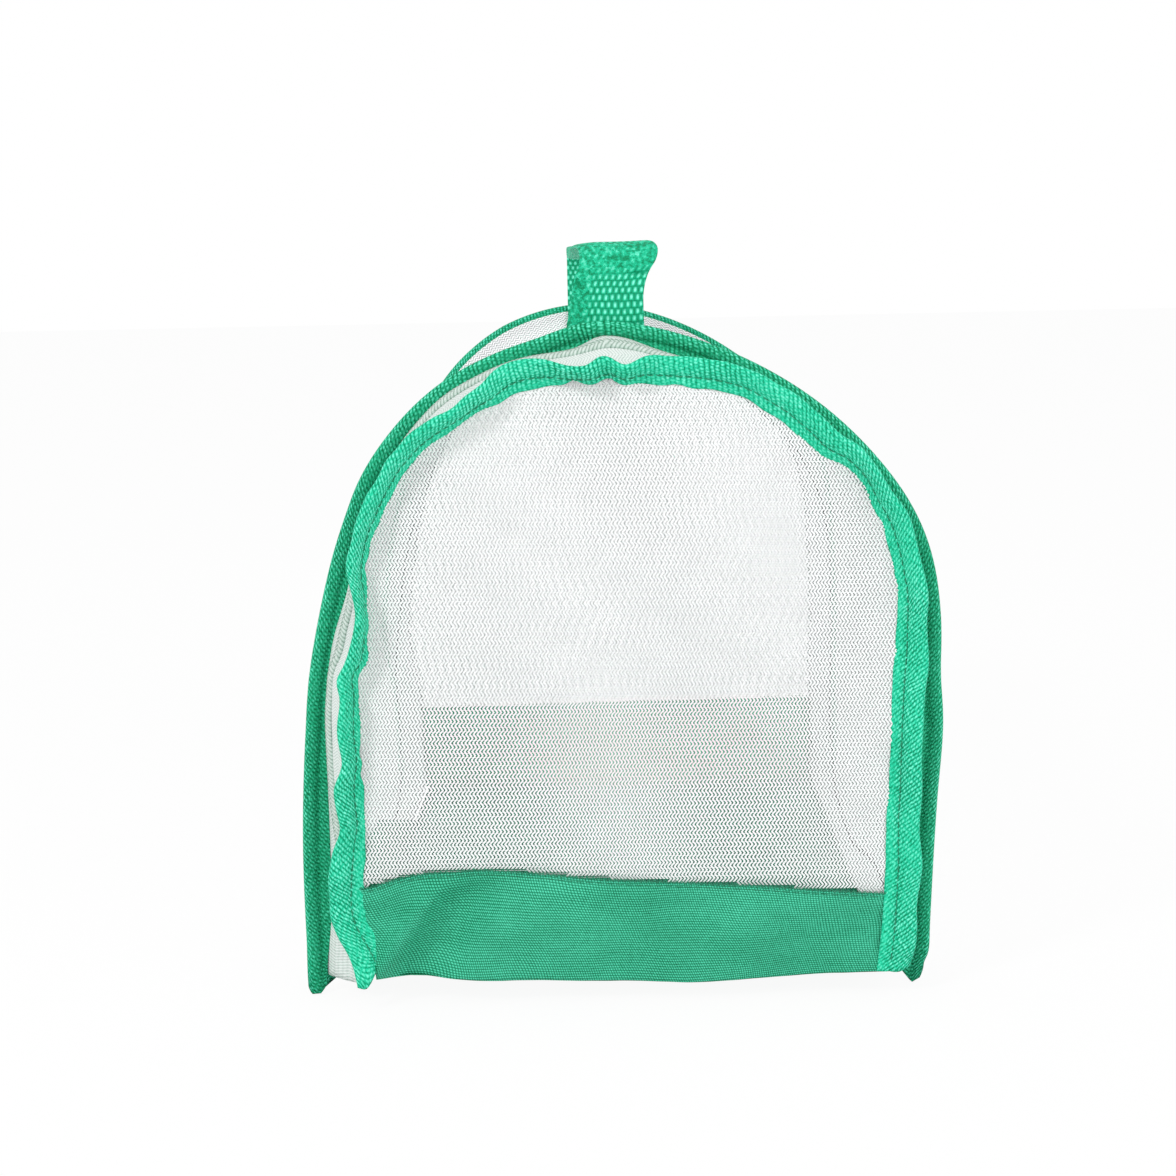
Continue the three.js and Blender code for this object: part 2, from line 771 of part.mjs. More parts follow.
// Everything is drawn upright from the front hoop's plane. Then what is soft leans, and all of it
// is moved to stand over the origin.
const cage = new THREE.Group();
const soft = [frontHoop(), softBody(), rearHoop(), door()];
for (const group of soft) group.children.forEach((mesh) => leanGeometry(mesh.geometry));
cage.add(...soft, slider());
const reach = new THREE.Box3().setFromObject(cage);
cage.position.x = -(reach.min.x + reach.max.x) / 2;
cage.position.y = -(reach.min.y + reach.max.y) / 2;

const insectCage = new THREE.Group();
insectCage.add(cage);

export default insectCage;
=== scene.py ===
"""The looks of the insect cage: sewn net, cloth, tape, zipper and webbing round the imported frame.

Lengths are millimetres until a mesh is made. A station t is a distance along the arch's seam
line, from the ground at the left foot, over the crown, to the ground at the right foot. "out" is
a distance from the seam line, away from the inside of the cage.
"""

import json
import math

import bpy
import numpy as np
from mathutils import Matrix, Vector


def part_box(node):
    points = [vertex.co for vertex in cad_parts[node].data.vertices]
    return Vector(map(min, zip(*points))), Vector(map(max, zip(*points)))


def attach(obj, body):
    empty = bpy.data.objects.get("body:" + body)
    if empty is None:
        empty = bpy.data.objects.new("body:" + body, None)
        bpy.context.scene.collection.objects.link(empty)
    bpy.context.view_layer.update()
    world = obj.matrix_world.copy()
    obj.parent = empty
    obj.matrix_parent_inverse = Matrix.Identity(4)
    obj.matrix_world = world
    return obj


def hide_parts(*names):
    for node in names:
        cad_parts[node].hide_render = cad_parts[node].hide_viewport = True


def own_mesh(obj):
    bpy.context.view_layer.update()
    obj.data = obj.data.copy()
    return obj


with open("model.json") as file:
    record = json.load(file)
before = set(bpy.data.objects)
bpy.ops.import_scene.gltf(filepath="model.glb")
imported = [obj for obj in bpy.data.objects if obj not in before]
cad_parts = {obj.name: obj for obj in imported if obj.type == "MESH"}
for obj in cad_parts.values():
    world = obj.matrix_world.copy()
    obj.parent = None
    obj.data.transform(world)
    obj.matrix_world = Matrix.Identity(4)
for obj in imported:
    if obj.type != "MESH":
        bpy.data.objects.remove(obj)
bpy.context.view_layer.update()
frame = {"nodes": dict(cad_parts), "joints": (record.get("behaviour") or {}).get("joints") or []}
MM = 0.001

# The cage's sizes, as in the part's source
HALF_WIDTH = 70.5
CROWN_OFFSET = 5.5
LEG = 85.5
LEG_BOW = 3.0
RADIUS = HALF_WIDTH + CROWN_OFFSET
APEX_ANGLE = math.acos(CROWN_OFFSET / RADIUS)
ARCH = 2 * (LEG + RADIUS * APEX_ANGLE)
CROWN = LEG + RADIUS * math.sin(APEX_ANGLE)


def middle(node, axis):
    low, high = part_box(node)
    return (low[axis] + high[axis]) / 2 / MM


AXIS = -0.13
FRONT = middle("front_hoop_wire", 1)
REAR = middle("rear_hoop_wire", 1)
DOOR = middle("door_binding", 1)
DEPTH = REAR - FRONT
DOOR_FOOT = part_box("door_binding")[0][2] / MM
STRIP_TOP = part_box("rear_strip")[1][2] / MM
CHAIN_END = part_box("zipper_slider")[1][2] / MM + 0.6

# The reach of the real cage's lean: its height, and half its width over the tapes
LEAN_HEIGHT = 170
LEAN_SIDE = 79


# Curves and lines


def ease(x, a, b):
    """0 up to a, 1 from b on, and a smooth step between them."""
    u = np.clip((np.asarray(x, float) - a) / (b - a), 0, 1)
    return u * u * (3 - 2 * u)


def fade(x, a, b):
    return 1 - ease(x, a, b)


def hump(x, centre, width):
    """A bell of height 1."""
    return np.exp(-(((np.asarray(x, float) - centre) / width) ** 2))


def wobble(seed, length, count=6):
    """A smooth random wave of about that length, from -1 to 1."""
    r = np.random.RandomState(seed)
    waves = 2 * np.pi / (length * r.uniform(0.6, 1.9, count))
    phases = r.uniform(0, 2 * np.pi, count)
    sizes = r.uniform(0.5, 1, count)

    def value(t):
        t = np.asarray(t, float)[..., None]
        return (np.sin(t * waves + phases) * sizes).sum(-1) / sizes.sum() * 1.6

    return value


def through(*pairs):
    """A smooth line through (share of the arch, value) pairs, as a function of the station."""
    xs = np.array([a for a, b in pairs]) * ARCH
    ys = np.array([b for a, b in pairs], float)
    slope = np.gradient(ys, xs)

    def value(t):
        t = np.clip(np.asarray(t, float), xs[0], xs[-1])
        i = np.clip(np.searchsorted(xs, t, side="right") - 1, 0, len(xs) - 2)
        h = xs[i + 1] - xs[i]
        u = (t - xs[i]) / h
        return (
            ys[i] * (1 + 2 * u) * (1 - u) ** 2
            + ys[i + 1] * u**2 * (3 - 2 * u)
            + h * (slope[i] * u * (1 - u) ** 2 - slope[i + 1] * u**2 * (1 - u))
        )

    return value


def steps(start, end, length):
    return np.linspace(start, end, max(2, int(round((end - start) / length)) + 1))


def points_of(*coordinates):
    """Points from their coordinates, each of them a number or an array."""
    return np.stack(np.broadcast_arrays(*coordinates), -1)


def run_of(points):
    """The way along a line of points, from its start."""
    return np.concatenate([[0], np.cumsum(np.linalg.norm(np.diff(points, axis=0), axis=1))])


def from_ground(t):
    """The way from a station to the nearer foot's end."""
    return np.minimum(t, ARCH - t)


def arch(t):
    """Points of the seam line and the outward direction there."""
    t = np.asarray(t, float)
    side = np.where(t <= ARCH / 2, -1.0, 1.0)
    d = np.where(side < 0, t, ARCH - t)
    on_leg = d < LEG
    down = np.clip((LEG - d) / LEG, 0, 2)
    angle = np.clip((d - LEG) / RADIUS, 0, None)
    x = np.where(on_leg, HALF_WIDTH - LEG_BOW * down**2, RADIUS * np.cos(angle) - CROWN_OFFSET)
    z = np.where(on_leg, d, LEG + RADIUS * np.sin(angle))
    out_x = np.where(on_leg, 1.0, np.cos(angle))
    out_z = np.where(on_leg, 0.0, np.sin(angle))
    return side * x, z, side * out_x, out_z


def at(t, out, y):
    x, z, out_x, out_z = arch(t)
    return points_of(x + out_x * out, y, z + out_z * out)


def leaned(points):
    """The sewn arch of the real cage leans and bows a little, and takes all its cloth along."""
    points = np.asarray(points, float)
    x, y, z = points[..., 0], points[..., 1], points[..., 2]
    up = np.clip(z / LEAN_HEIGHT, 0, 1)
    across = x / LEAN_SIDE
    down = np.clip(1 - z / LEG, 0, 1) ** 2
    shift = -2.5 * up + 3.4 * np.sin(np.pi * up) - 2.3 * np.sin(2 * np.pi * up)
    belly = 0.9 * np.sin(np.pi * np.clip(z / 78, 0, 1)) - 0.7 * hump(z, 97, 16)
    swell = (0.5 * np.sin(np.pi * up) + belly) * across
    foot = np.where(x > 0, 1.3, 5.1) * down * across
    # the rear hoop stands a little differently
    to_rear = np.clip((y - FRONT) / DEPTH, 0, 1)
    to_right = ease(x, -45, 45)
    to_left = 1 - to_right
    low = 1.7 * fade(z, 10, 50) * to_right + 5.6 * fade(z, 26, 62) * to_left
    high = 1.2 * hump(z, 112, 20) * to_left - 2.4 * hump(z, 95, 26) * to_right
    drop = np.where(x > 0, -0.9 * np.clip(x / 45, 0, 1) ** 2, 1.7 * np.clip(-x / 34, 0, 1))
    x = x + AXIS + shift + swell + foot + to_rear * (low + high)
    z = z - 1.1 * across * up + to_rear * ease(z, 118, 150) * drop
    return points_of(x, y, z)


# Meshes


class Parts:
    """Gathers the grids and tubes of one piece."""

    def __init__(self):
        self.points, self.faces, self.uv, self.count = [], [], [], 0

    def grid(self, points, u, v, closed=False, caps=False):
        """points is (n, k, 3). u has n values and v has k, or k + 1 where it closes."""
        points = np.asarray(points, float)
        n, k = points.shape[:2]
        u = np.broadcast_to(np.asarray(u, float).reshape(n, -1), (n, k + closed))
        v = np.broadcast_to(np.asarray(v, float), (n, k + closed))
        i, j = np.meshgrid(np.arange(n - 1), np.arange(k - 1 + closed), indexing="ij")
        i, j = i.ravel(), j.ravel()
        next_j = (j + 1) % k
        quads = np.stack([i * k + j, (i + 1) * k + j, (i + 1) * k + next_j, i * k + next_j], 1)
        corner = [(i, j), (i + 1, j), (i + 1, j + 1), (i, j + 1)]
        uv = np.stack([points_of(u[a, b], v[a, b]) for a, b in corner], 1)
        self.points.append(points.reshape(-1, 3))
        self.faces.extend((quads + self.count).tolist())
        self.uv.append(uv.reshape(-1, 2))
        if caps:
            for row, turn in ((0, 1), (n - 1, -1)):
                ring = (self.count + row * k + np.arange(k))[::turn]
                self.faces.append(ring.tolist())
                self.uv.append(points_of(u[row, :k], v[row, :k])[::turn])
        self.count += n * k
        return self

    def tube(self, line, radius, sides):
        line = np.asarray(line, float)
        way = np.gradient(line, axis=0)
        way /= np.linalg.norm(way, axis=1, keepdims=True) + 1e-12
        helper = np.where(np.abs(way[:, 2:3]) < 0.9, [[0, 0, 1.0]], [[1.0, 0, 0]])
        a = np.cross(way, helper)
        a /= np.linalg.norm(a, axis=1, keepdims=True)
        b = np.cross(way, a)
        turn = 2 * np.pi * np.arange(sides) / sides
        radius = np.broadcast_to(np.asarray(radius, float).reshape(-1, 1, 1), (len(line), 1, 1))
        ring = line[:, None] + radius * (
            a[:, None] * np.cos(turn)[None, :, None] + b[:, None] * np.sin(turn)[None, :, None]
        )
        girth = 2 * np.pi * float(radius.max()) * np.arange(sides + 1) / sides
        return self.grid(ring, run_of(line), girth, closed=True, caps=True)

    def object(self, name, look, lean=True):
        """The mesh object. Its "weave" layer holds u and v in centimetres."""
        points = np.concatenate(self.points)
        if lean:
            points = leaned(points)
        mesh = bpy.data.meshes.new(name)
        mesh.from_pydata((points * MM).tolist(), [], self.faces)
        layer = mesh.uv_layers.new(name="weave")
        layer.data.foreach_set("uv", np.concatenate(self.uv).astype(np.float32).ravel() / 10)
        mesh.shade_smooth()
        mesh.materials.append(look)
        mesh.update()
        made = bpy.data.objects.new(name, mesh)
        bpy.context.scene.collection.objects.link(made)
        return made


def closed_piece(name, look, points, u, v, lean=True):
    return Parts().grid(points, u, v, closed=True, caps=True).object(name, look, lean)


def loop_round(line, first, second):
    """A closed loop round each row: out along it at one distance off, and back at another."""
    way = np.gradient(line, axis=1)
    way /= np.linalg.norm(way, axis=2, keepdims=True)
    off = points_of(-way[..., 1], way[..., 0])
    return np.concatenate([line + off * first, (line + off * second)[:, ::-1]], 1)


def folded(near, far, half, fold):
    """One row of a folded tape: along its near side, round the fold and back on its far side."""
    return np.concatenate([points_of(near, -half(near)), fold, points_of(far, half(far))[::-1]])


def tape_girth(loop, fold_start):
    """The way round each row of a folded tape, counted from where its fold begins."""
    run = np.cumsum(np.linalg.norm(np.diff(loop, axis=1), axis=2), axis=1)
    run = np.concatenate([np.zeros((len(loop), 1)), run, run[:, -1:] + 0.4], 1)
    return run - run[:, fold_start : fold_start + 1]


def enter(piece, body, node=None, slot=None, **sheet):
    """Puts a piece on the body that it rides on and hides the CAD node that it stands for. The slot and the
    sheet's sizes are not used.
    """
    if node:
        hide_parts(node)
    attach(piece, body)
    return piece


# Materials


def linear(rgb):
    """The linear colour of an 8-bit sRGB one."""
    c = np.array(rgb, float) / 255
    c = np.where(c <= 0.04045, c / 12.92, ((c + 0.055) / 1.055) ** 2.4)
    return (*c.tolist(), 1.0)


class Value:
    """A socket in a material's graph. Arithmetic with it adds math nodes."""

    def __init__(self, graph, socket):
        self.graph, self.socket = graph, socket

    def __rsub__(self, other):
        return self.graph.math("SUBTRACT", other, self)

    def __abs__(self):
        return self.graph.math("ABSOLUTE", self)

    def held(self):
        """The same number, kept from 0 to 1 by its math node."""
        self.socket.node.use_clamp = True
        return self


def operator(operation):
    return lambda self, other: self.graph.math(operation, self, other)


Value.__add__ = operator("ADD")
Value.__sub__ = operator("SUBTRACT")
Value.__mul__ = operator("MULTIPLY")
Value.__truediv__ = operator("DIVIDE")
Value.__pow__ = operator("POWER")


class Graph:
    """A material, with short calls for its nodes."""

    def __init__(self, name, roughness=0.8, specular=0.3, metallic=0.0, sheen=0.0):
        self.material = bpy.data.materials.new(name)
        self.material.use_nodes = True
        self.nodes = self.material.node_tree.nodes
        self.links = self.material.node_tree.links
        self.shader = self.nodes["Principled BSDF"]
        self.set("Roughness", roughness)
        self.set("Specular IOR Level", specular)
        self.set("Metallic", metallic)
        if sheen:
            self.set("Sheen Weight", sheen)
            self.set("Sheen Roughness", 0.4)

    def join(self, value, socket):
        if isinstance(value, Value):
            self.links.new(value.socket, socket)
        else:
            socket.default_value = value

    def set(self, socket, value):
        self.join(value, self.shader.inputs[socket])

    def node(self, kind, inputs, output=0, **settings):
        """Adds a node and gives one of its outputs."""
        made = self.nodes.new(kind)
        for key, value in settings.items():
            setattr(made, key, value)
        for key, value in inputs.items():
            self.join(value, made.inputs[key])
        return Value(self, made.outputs[output])

    def math(self, operation, a, b=None):
        inputs = {0: a} if b is None else {0: a, 1: b}
        return self.node("ShaderNodeMath", inputs, operation=operation)

    def weave(self):
        """The cloth's own coordinates in millimetres: along and across."""
        uv = self.node("ShaderNodeUVMap", {}, uv_map="weave")
        along = self.node("ShaderNodeSeparateXYZ", {0: uv})
        across = Value(self, along.socket.node.outputs[1])
        return along * 10, across * 10

    def hill(self, value, pitch, shift=0.0):
        """Rounded ridges, 0 to 1, once in each pitch."""
        return self.math("SINE", self.math("FRACT", value / pitch + shift) * math.pi)

    def triangle(self, value, period):
        """A zigzag from 0 to 1 and back, once in each period."""
        return self.math("PINGPONG", value / (period / 2), 1.0)

    def noise(self, scale, detail=2.0, roughness=0.5, stretch=None):
        where = self.node("ShaderNodeTexCoord", {}, "Object")
        if stretch:
            where = self.node("ShaderNodeMapping", {"Scale": stretch, "Vector": where})
        inputs = {"Scale": scale, "Detail": detail, "Roughness": roughness, "Vector": where}
        return self.node("ShaderNodeTexNoise", inputs, "Fac")

    def drift(self, scale, size):
        """Noise round nought."""
        return (self.noise(scale) - 0.5) * size

    def ramp(self, value, places, colours):
        made = self.node("ShaderNodeValToRGB", {0: value})
        elements = made.socket.node.color_ramp.elements
        while len(elements) < len(places):
            elements.new(0.5)
        for element, place, colour in zip(elements, places, colours):
            element.position = place
            element.color = linear(colour)
        return made

    def tint(self, value, places, colours):
        self.set("Base Color", self.ramp(value, places, colours))

    def bump(self, height, distance_mm):
        inputs = {"Strength": 1.0, "Distance": distance_mm * MM, "Height": height}
        self.set("Normal", self.node("ShaderNodeBump", inputs))


def twill_tape(name, colours, smooth, painted_shade, seed=0.0):
    """Folded binding tape. Its across coordinate is nought where the fold begins. Small beads lie in
    slanting rows, which lean the other way on the other leg. Towards the tape's edge over the
    cloth, past "smooth", the beads are weaker. The fourth argument sets how much painted shade darkens
    the flat part and the groove beside the fold, where the fold shades them. Small random bright
    flecks, stronger over the fold, are painted glints."""
    g = Graph(name, roughness=0.62, specular=0.12)
    row_pitch, bead_pitch = 0.82, 0.92
    along, across = g.weave()
    drift, drift_across = g.drift(230 + seed, 1.5), g.drift(290 + seed, 1.3)
    side = g.math("MAXIMUM", g.math("MINIMUM", (along - ARCH / 2) / 70, 1.0), -1.0)
    slanted = (along + drift) * 0.72 + across * side * 0.6
    row = g.math("FLOOR", slanted / row_pitch)
    bead = g.hill(across + drift_across + row * 0.43, bead_pitch)
    height = g.hill(slanted, row_pitch) * (bead * 0.65 + 0.35)
    patch = ((g.noise(48 + seed) - 0.36) * 3.6).held()
    beaded = ((across + (smooth + 1.2)) * 0.6).held() * (patch * 0.6 + 0.4)
    beaded = beaded * 0.62 + 0.5
    fuzz = g.noise(1300, 3, 0.65)
    # painted glints: small random bright flecks, stronger over the fold, stand in for glints of light on
    # the tape
    painted_glint = ((g.noise(900 + seed, 2, 0.6) - 0.56) * 5.0).held()
    lit = (height - 0.45) * (beaded * 0.62) + 0.36 + (fuzz - 0.5) * 1.05
    lit = lit + painted_glint * beaded * 0.34 + g.drift(70 + seed, 0.22)
    colour = g.ramp(lit, (0.08, 0.4, 0.86), colours)
    # painted shade: the flat part and the groove beside the fold are mixed towards darker greens, for the
    # shade the fold casts on them
    flat = ((across + 0.2) * -0.9).held() * 0.8
    groove = (1.0 - abs(across + 0.35) * 2.4).held()
    ribbed = g.hill(along, 0.95) * 0.5 + lit * 0.6
    deep = g.ramp(ribbed, (0.12, 0.5, 0.95), ((2, 100, 60), (12, 144, 98), (50, 196, 148)))
    share = g.math("MAXIMUM", flat, groove) * painted_shade
    mixed = {"Factor": share, "A": colour, "B": deep}
    g.set("Base Color", g.node("ShaderNodeMix", mixed, "Result", data_type="RGBA"))
    g.bump(height * beaded + fuzz * 0.5, 0.3)
    return g.material


def plain_cloth(name, colours):
    """Coated plain-woven cloth: small raised squares in rows that wander a little."""
    g = Graph(name, roughness=0.55, specular=0.2)
    pitch = 0.64
    along, across = g.weave()
    drift = g.drift(22, 14)
    warp = g.hill(along + drift + across * 0.3, pitch)
    weft = g.hill(across - drift * 0.4, pitch, 0.5)
    grain = (warp * weft) ** 0.6
    streaks = g.noise(60, 3, 0.6, stretch=(0.6, 1, 1.6))
    fuzz = g.noise(1300)
    g.tint(grain * 0.62 + streaks * 0.3 + fuzz * 0.25, (0.22, 0.56, 0.9), colours)
    g.bump(grain + fuzz * 0.4, 0.2)
    return g.material


def dotted_webbing(name, colours):
    """Coarse webbing: staggered upright pads of glossy yarn with dark pits between. Towards its left
    edge and over its bend the pads break up into fine flecks."""
    g = Graph(name, roughness=0.55, specular=0.18)
    pitch_along, pitch_across = 1.7, 1.75
    along, across = g.weave()
    drifted = along + g.drift(210, 0.9)
    row = g.math("FLOOR", drifted / pitch_along)
    pad_across = g.hill(across, pitch_across, row * 0.5)
    pad = pad_across**2.2 * g.hill(drifted, pitch_along) ** 0.8
    facet = ((5.8 - across) * 0.7).held()
    bend = (1.0 - abs(along - 25) * 0.16).held()
    rough = g.math("MAXIMUM", facet, (bend * 1.8).held()) * 0.75
    flecks = (g.noise(760, 3, 0.7) - 0.4) * 2.6
    dots = pad * 0.85 + g.hill(across, 0.44) * 0.12
    value = dots * (1.0 - rough) + flecks * rough + (g.noise(1100, 3, 0.65) - 0.5) * 0.45
    g.tint(value, (0.02, 0.4, 0.9), colours)
    g.bump(value, 0.45)
    return g.material


# The knit: the distance of its columns, the length of a zigzag and how far it swings
KNIT_PITCH = 0.88
KNIT_PERIOD = 2.17
KNIT_SWING = 0.84


def knitted_sheet(name, colours):
    """Fine white knit on a sheet: zigzag columns with slots between them that show through."""
    g = Graph(name, roughness=0.75, specular=0.2, sheen=0.2)
    cover = 0.95
    along, across = g.weave()
    zigzag = g.triangle(along, KNIT_PERIOD) * KNIT_SWING
    off_middle = abs(g.math("FRACT", (across + zigzag) / KNIT_PITCH) - 0.5)
    tone = (0.5 - off_middle) * 2 * 0.6 + g.hill(along, KNIT_PERIOD / 2) * 0.3
    g.tint(tone, (0.1, 0.5, 0.9), colours)
    g.set("Alpha", ((cover / 2 - off_middle) * 9).held())
    g.bump(tone, 0.2)
    return g.material


def knitted_strand(name, colours):
    g = Graph(name, roughness=0.7, specular=0.25, sheen=0.2)
    along, _ = g.weave()
    value = g.hill(along, 0.42) * 0.5 + g.noise(1500) * 0.5
    g.tint(value, (0.15, 0.6, 0.95), colours)
    g.bump(value, 0.1)
    return g.material


def ribbed_tape(name, colours):
    """The zipper's woven tape: fine cross ribs and a slightly grey white."""
    g = Graph(name, roughness=0.65, specular=0.3, sheen=0.15)
    along, across = g.weave()
    rib = g.hill(along + g.triangle(across, 3.2) * 1.1, 0.75)
    value = rib * 0.5 + g.hill(across, 0.5) * 0.2 + g.noise(900, 3) * 0.3
    g.tint(value, (0.1, 0.5, 0.95), colours)
    g.bump(value, 0.15)
    return g.material


def nylon(name, colours):
    """The chain: nylon turns that show as slanting ribs, one rib to each turn."""
    g = Graph(name, roughness=0.45, specular=0.4)
    along, across = g.weave()
    rib = g.hill(along + across * 0.8, 1.0)
    g.tint(rib * 0.7 + (g.noise(900, 3, 0.6) - 0.35) * 0.6, (0.15, 0.5, 0.9), colours)
    g.bump(rib + g.noise(2500) * 0.2, 0.12)
    return g.material


def thread(name, colours):
    g = Graph(name, roughness=0.55, specular=0.35, sheen=0.1)
    along, across = g.weave()
    twist = g.hill(along + across * 1.5, 0.4)
    g.tint(twist * 0.6 + g.noise(1500) * 0.4, (0.1, 0.5, 0.9), colours)
    g.bump(twist, 0.06)
    return g.material


def cast_metal(name, colours, roughness):
    """Plated zinc or wire with fine marks and duller places."""
    g = Graph(name, specular=0.5, metallic=0.85)
    wear = g.noise(260, 4)
    g.tint(wear, (0.3, 0.5, 0.7), colours)
    g.set("Roughness", wear * 0.3 + (roughness - 0.15))
    g.bump(g.noise(3000, stretch=(1, 1, 0.2)), 0.02)
    return g.material


# Each look has a dark, a middle and a light colour
# the hoop tapes carry painted shade on their flat part and groove (0.85); the door's tape has none (0.0)
binding_look = twill_tape("binding_tape", ((2, 112, 68), (24, 178, 130), (116, 246, 210)), 6.0, 0.85)
door_binding_look = twill_tape(
    "door_binding_tape", ((6, 140, 96), (36, 208, 162), (130, 255, 222)), 5.4, 0.0, seed=7
)
cloth_look = plain_cloth("oxford_cloth", ((0, 96, 60), (34, 158, 118), (88, 216, 178)))
webbing_look = dotted_webbing("dotted_webbing", ((2, 138, 92), (26, 200, 152), (136, 255, 224)))
net_look = knitted_sheet("knit_sheet", ((240, 241, 243), (250, 249, 251), (254, 253, 254)))
strand_look = knitted_strand("knit_strand", ((230, 233, 234), (250, 250, 251), (255, 255, 255)))
tape_look = ribbed_tape("zipper_tape", ((172, 187, 180), (210, 218, 214), (238, 241, 240)))
coil_look = nylon("zipper_nylon", ((140, 165, 152), (182, 199, 189), (218, 228, 223)))
green_thread = thread("green_thread", ((6, 92, 62), (18, 128, 90), (58, 176, 134)))
# seam thread: partly its own grey-green, partly painted shade, darkened to stand in for the shade along the
# tunnel's seams
seam_thread_painted_shade = thread("seam_thread_painted_shade", ((72, 92, 86), (104, 122, 116), (150, 166, 160)))
metal_look = cast_metal("plated_zinc", ((150, 154, 153), (196, 200, 198), (226, 228, 227)), 0.38)
wire_look = cast_metal("spring_wire", ((120, 124, 126), (160, 164, 166), (196, 200, 202)), 0.42)


# The hoops' bindings and wires

# where the front hoop's tape meets the cloth in front
hoop_seam = through(
    (0.0, 4.6), (0.012, 4.3), (0.022, 3.9), (0.035, 3.2), (0.05, 2.3), (0.065, 1.9), (0.1, 2.0),
    (0.12, 2.4), (0.14, 3.0), (0.16, 3.8), (0.19, 4.8), (0.23, 4.3), (0.26, 2.5), (0.29, 2.0),
    (0.33, 2.6), (0.36, 4.5), (0.39, 6.1), (0.42, 5.3), (0.45, 4.3), (0.48, 3.4), (0.5, 5.6),
    (0.53, 3.7), (0.57, 2.6), (0.62, 2.2), (0.68, 1.4), (0.72, 0.9), (1.0, 0.9),
)
# how far the front hoop's edge strays out of its arch
hoop_stray = through(
    (0.0, 0.1), (0.06, -0.2), (0.12, 0.0), (0.17, 0.5), (0.2, 0.9), (0.23, 0.2), (0.27, -0.4),
    (0.3, -0.2), (0.32, 0.4), (0.36, 0.4), (0.4, 0.0), (0.44, -0.9), (0.46, -1.1), (0.49, 0.1),
    (0.51, 0.3), (0.55, 0.1), (0.62, 0.1), (0.66, 0.0), (0.7, 0.2), (0.76, -0.2), (0.79, -0.4),
    (0.83, 0.8), (0.88, 0.4), (1.0, 0.2),
)
WIRE_PLACE = 7.1
WIRE_RADIUS = 0.8
WIRE_END = 2.2
HOOP_TAPE_FAR_EDGE = 0.9
HOOP_TAPE_THICK = 0.42


def no_stray(t):
    return 0 * t


def hoop_binding(name, plane, near_start, stray, seed):
    """A tape folded round the hoop's edge, with the wire as a round swelling near its fold. With
    no near_start, only the fold shows in front, above the cloth."""
    t = steps(0.0, ARCH, 1.6)
    edge, ripple = wobble(seed, 26), wobble(seed + 1, 14)
    k = 12
    turn = np.linspace(-np.pi / 2 + 0.45, np.pi / 2 - 0.45, 9)
    fold = points_of(WIRE_PLACE + 1.9 * np.cos(turn), 1.8 * np.sin(turn))
    rows = []
    for a in t:
        near_edge = near_start(a) - stray(a) + 0.2 * edge(a) if near_start else WIRE_PLACE - 1.2
        near = np.linspace(near_edge, WIRE_PLACE - 1.1, k)
        far = np.linspace(HOOP_TAPE_FAR_EDGE + 0.2 * ripple(a), WIRE_PLACE - 1.1, k)
        flat_half = 0.95 + 0.12 * ripple(a)

        def half(place):
            swelling = ease(place, WIRE_PLACE - 2.1, WIRE_PLACE - 0.9)
            groove = 0.35 * hump(place, WIRE_PLACE - 2.1, 0.5)
            return flat_half + (1.78 - flat_half) * swelling - groove

        rows.append(folded(near, far, half, fold))
    loop = loop_round(np.array(rows), 0, HOOP_TAPE_THICK)
    # the two cut feet are pressed flat, splay forwards and end in a rounded tip
    foot = from_ground(t)[:, None]
    left = (t < ARCH / 2)[:, None]
    press = 1 - 0.5 * fade(foot, 0, 9)
    splay = 0.0
    out = loop[..., 0] + stray(t)[:, None]
    if near_start:
        splay = 3.0 * fade(foot, 0, 15) * loop[..., 0] / 9
        out = out - 1.3 * fade(foot, 0, 11) * ~left
    p = at(t[:, None], out, plane + loop[..., 1] * press - splay)
    past = loop[..., 0] - np.where(left, 6.6, 6.4)
    outer_tip = np.where(left, 2.2, 4.0) * (np.abs(past) / np.where(left, 2.3, 2.5)) ** np.where(left, 3, 2)
    inner_tip = np.where(left, 3.8, 2.6) * (np.abs(past) / np.where(left, 2.8, 2.4)) ** 1.5
    tip = np.clip(np.where(past > 0, outer_tip, inner_tip), 0, 5)
    p[..., 2] += tip * fade(foot, 0, 9)
    return closed_piece(name, binding_look, p, t, tape_girth(loop, k))


def hoop_wire(name, plane, stray):
    """Spring wire, cut off just above the ground at both feet, with its ends rounded."""
    t = steps(WIRE_END, ARCH - WIRE_END, 1.5)
    from_end = from_ground(t) - WIRE_END
    radius = WIRE_RADIUS * np.sqrt(np.clip(from_end + 0.15, 0, WIRE_RADIUS) / WIRE_RADIUS)
    return Parts().tube(at(t, WIRE_PLACE + stray(t), plane), radius, 10).object(name, wire_look)


enter(
    hoop_binding("front_hoop_tape", FRONT, hoop_seam, hoop_stray, 3),
    "front_frame", "front_hoop_binding", "binding",
    flat=(0.018, ARCH * MM), held="folded", rests_on=["front_hoop_wire"],
)
enter(
    hoop_binding("rear_hoop_tape", REAR, None, no_stray, 11),
    "rear_frame", "rear_hoop_binding", "binding",
    flat=(0.0155, ARCH * MM), held="folded", rests_on=["rear_hoop_wire"],
)
enter(hoop_wire("front_hoop_rod", FRONT, hoop_stray), "front_frame", "front_hoop_wire", "wire")
enter(hoop_wire("rear_hoop_rod", REAR, no_stray), "rear_frame", "rear_hoop_wire", "wire")


# The door's binding

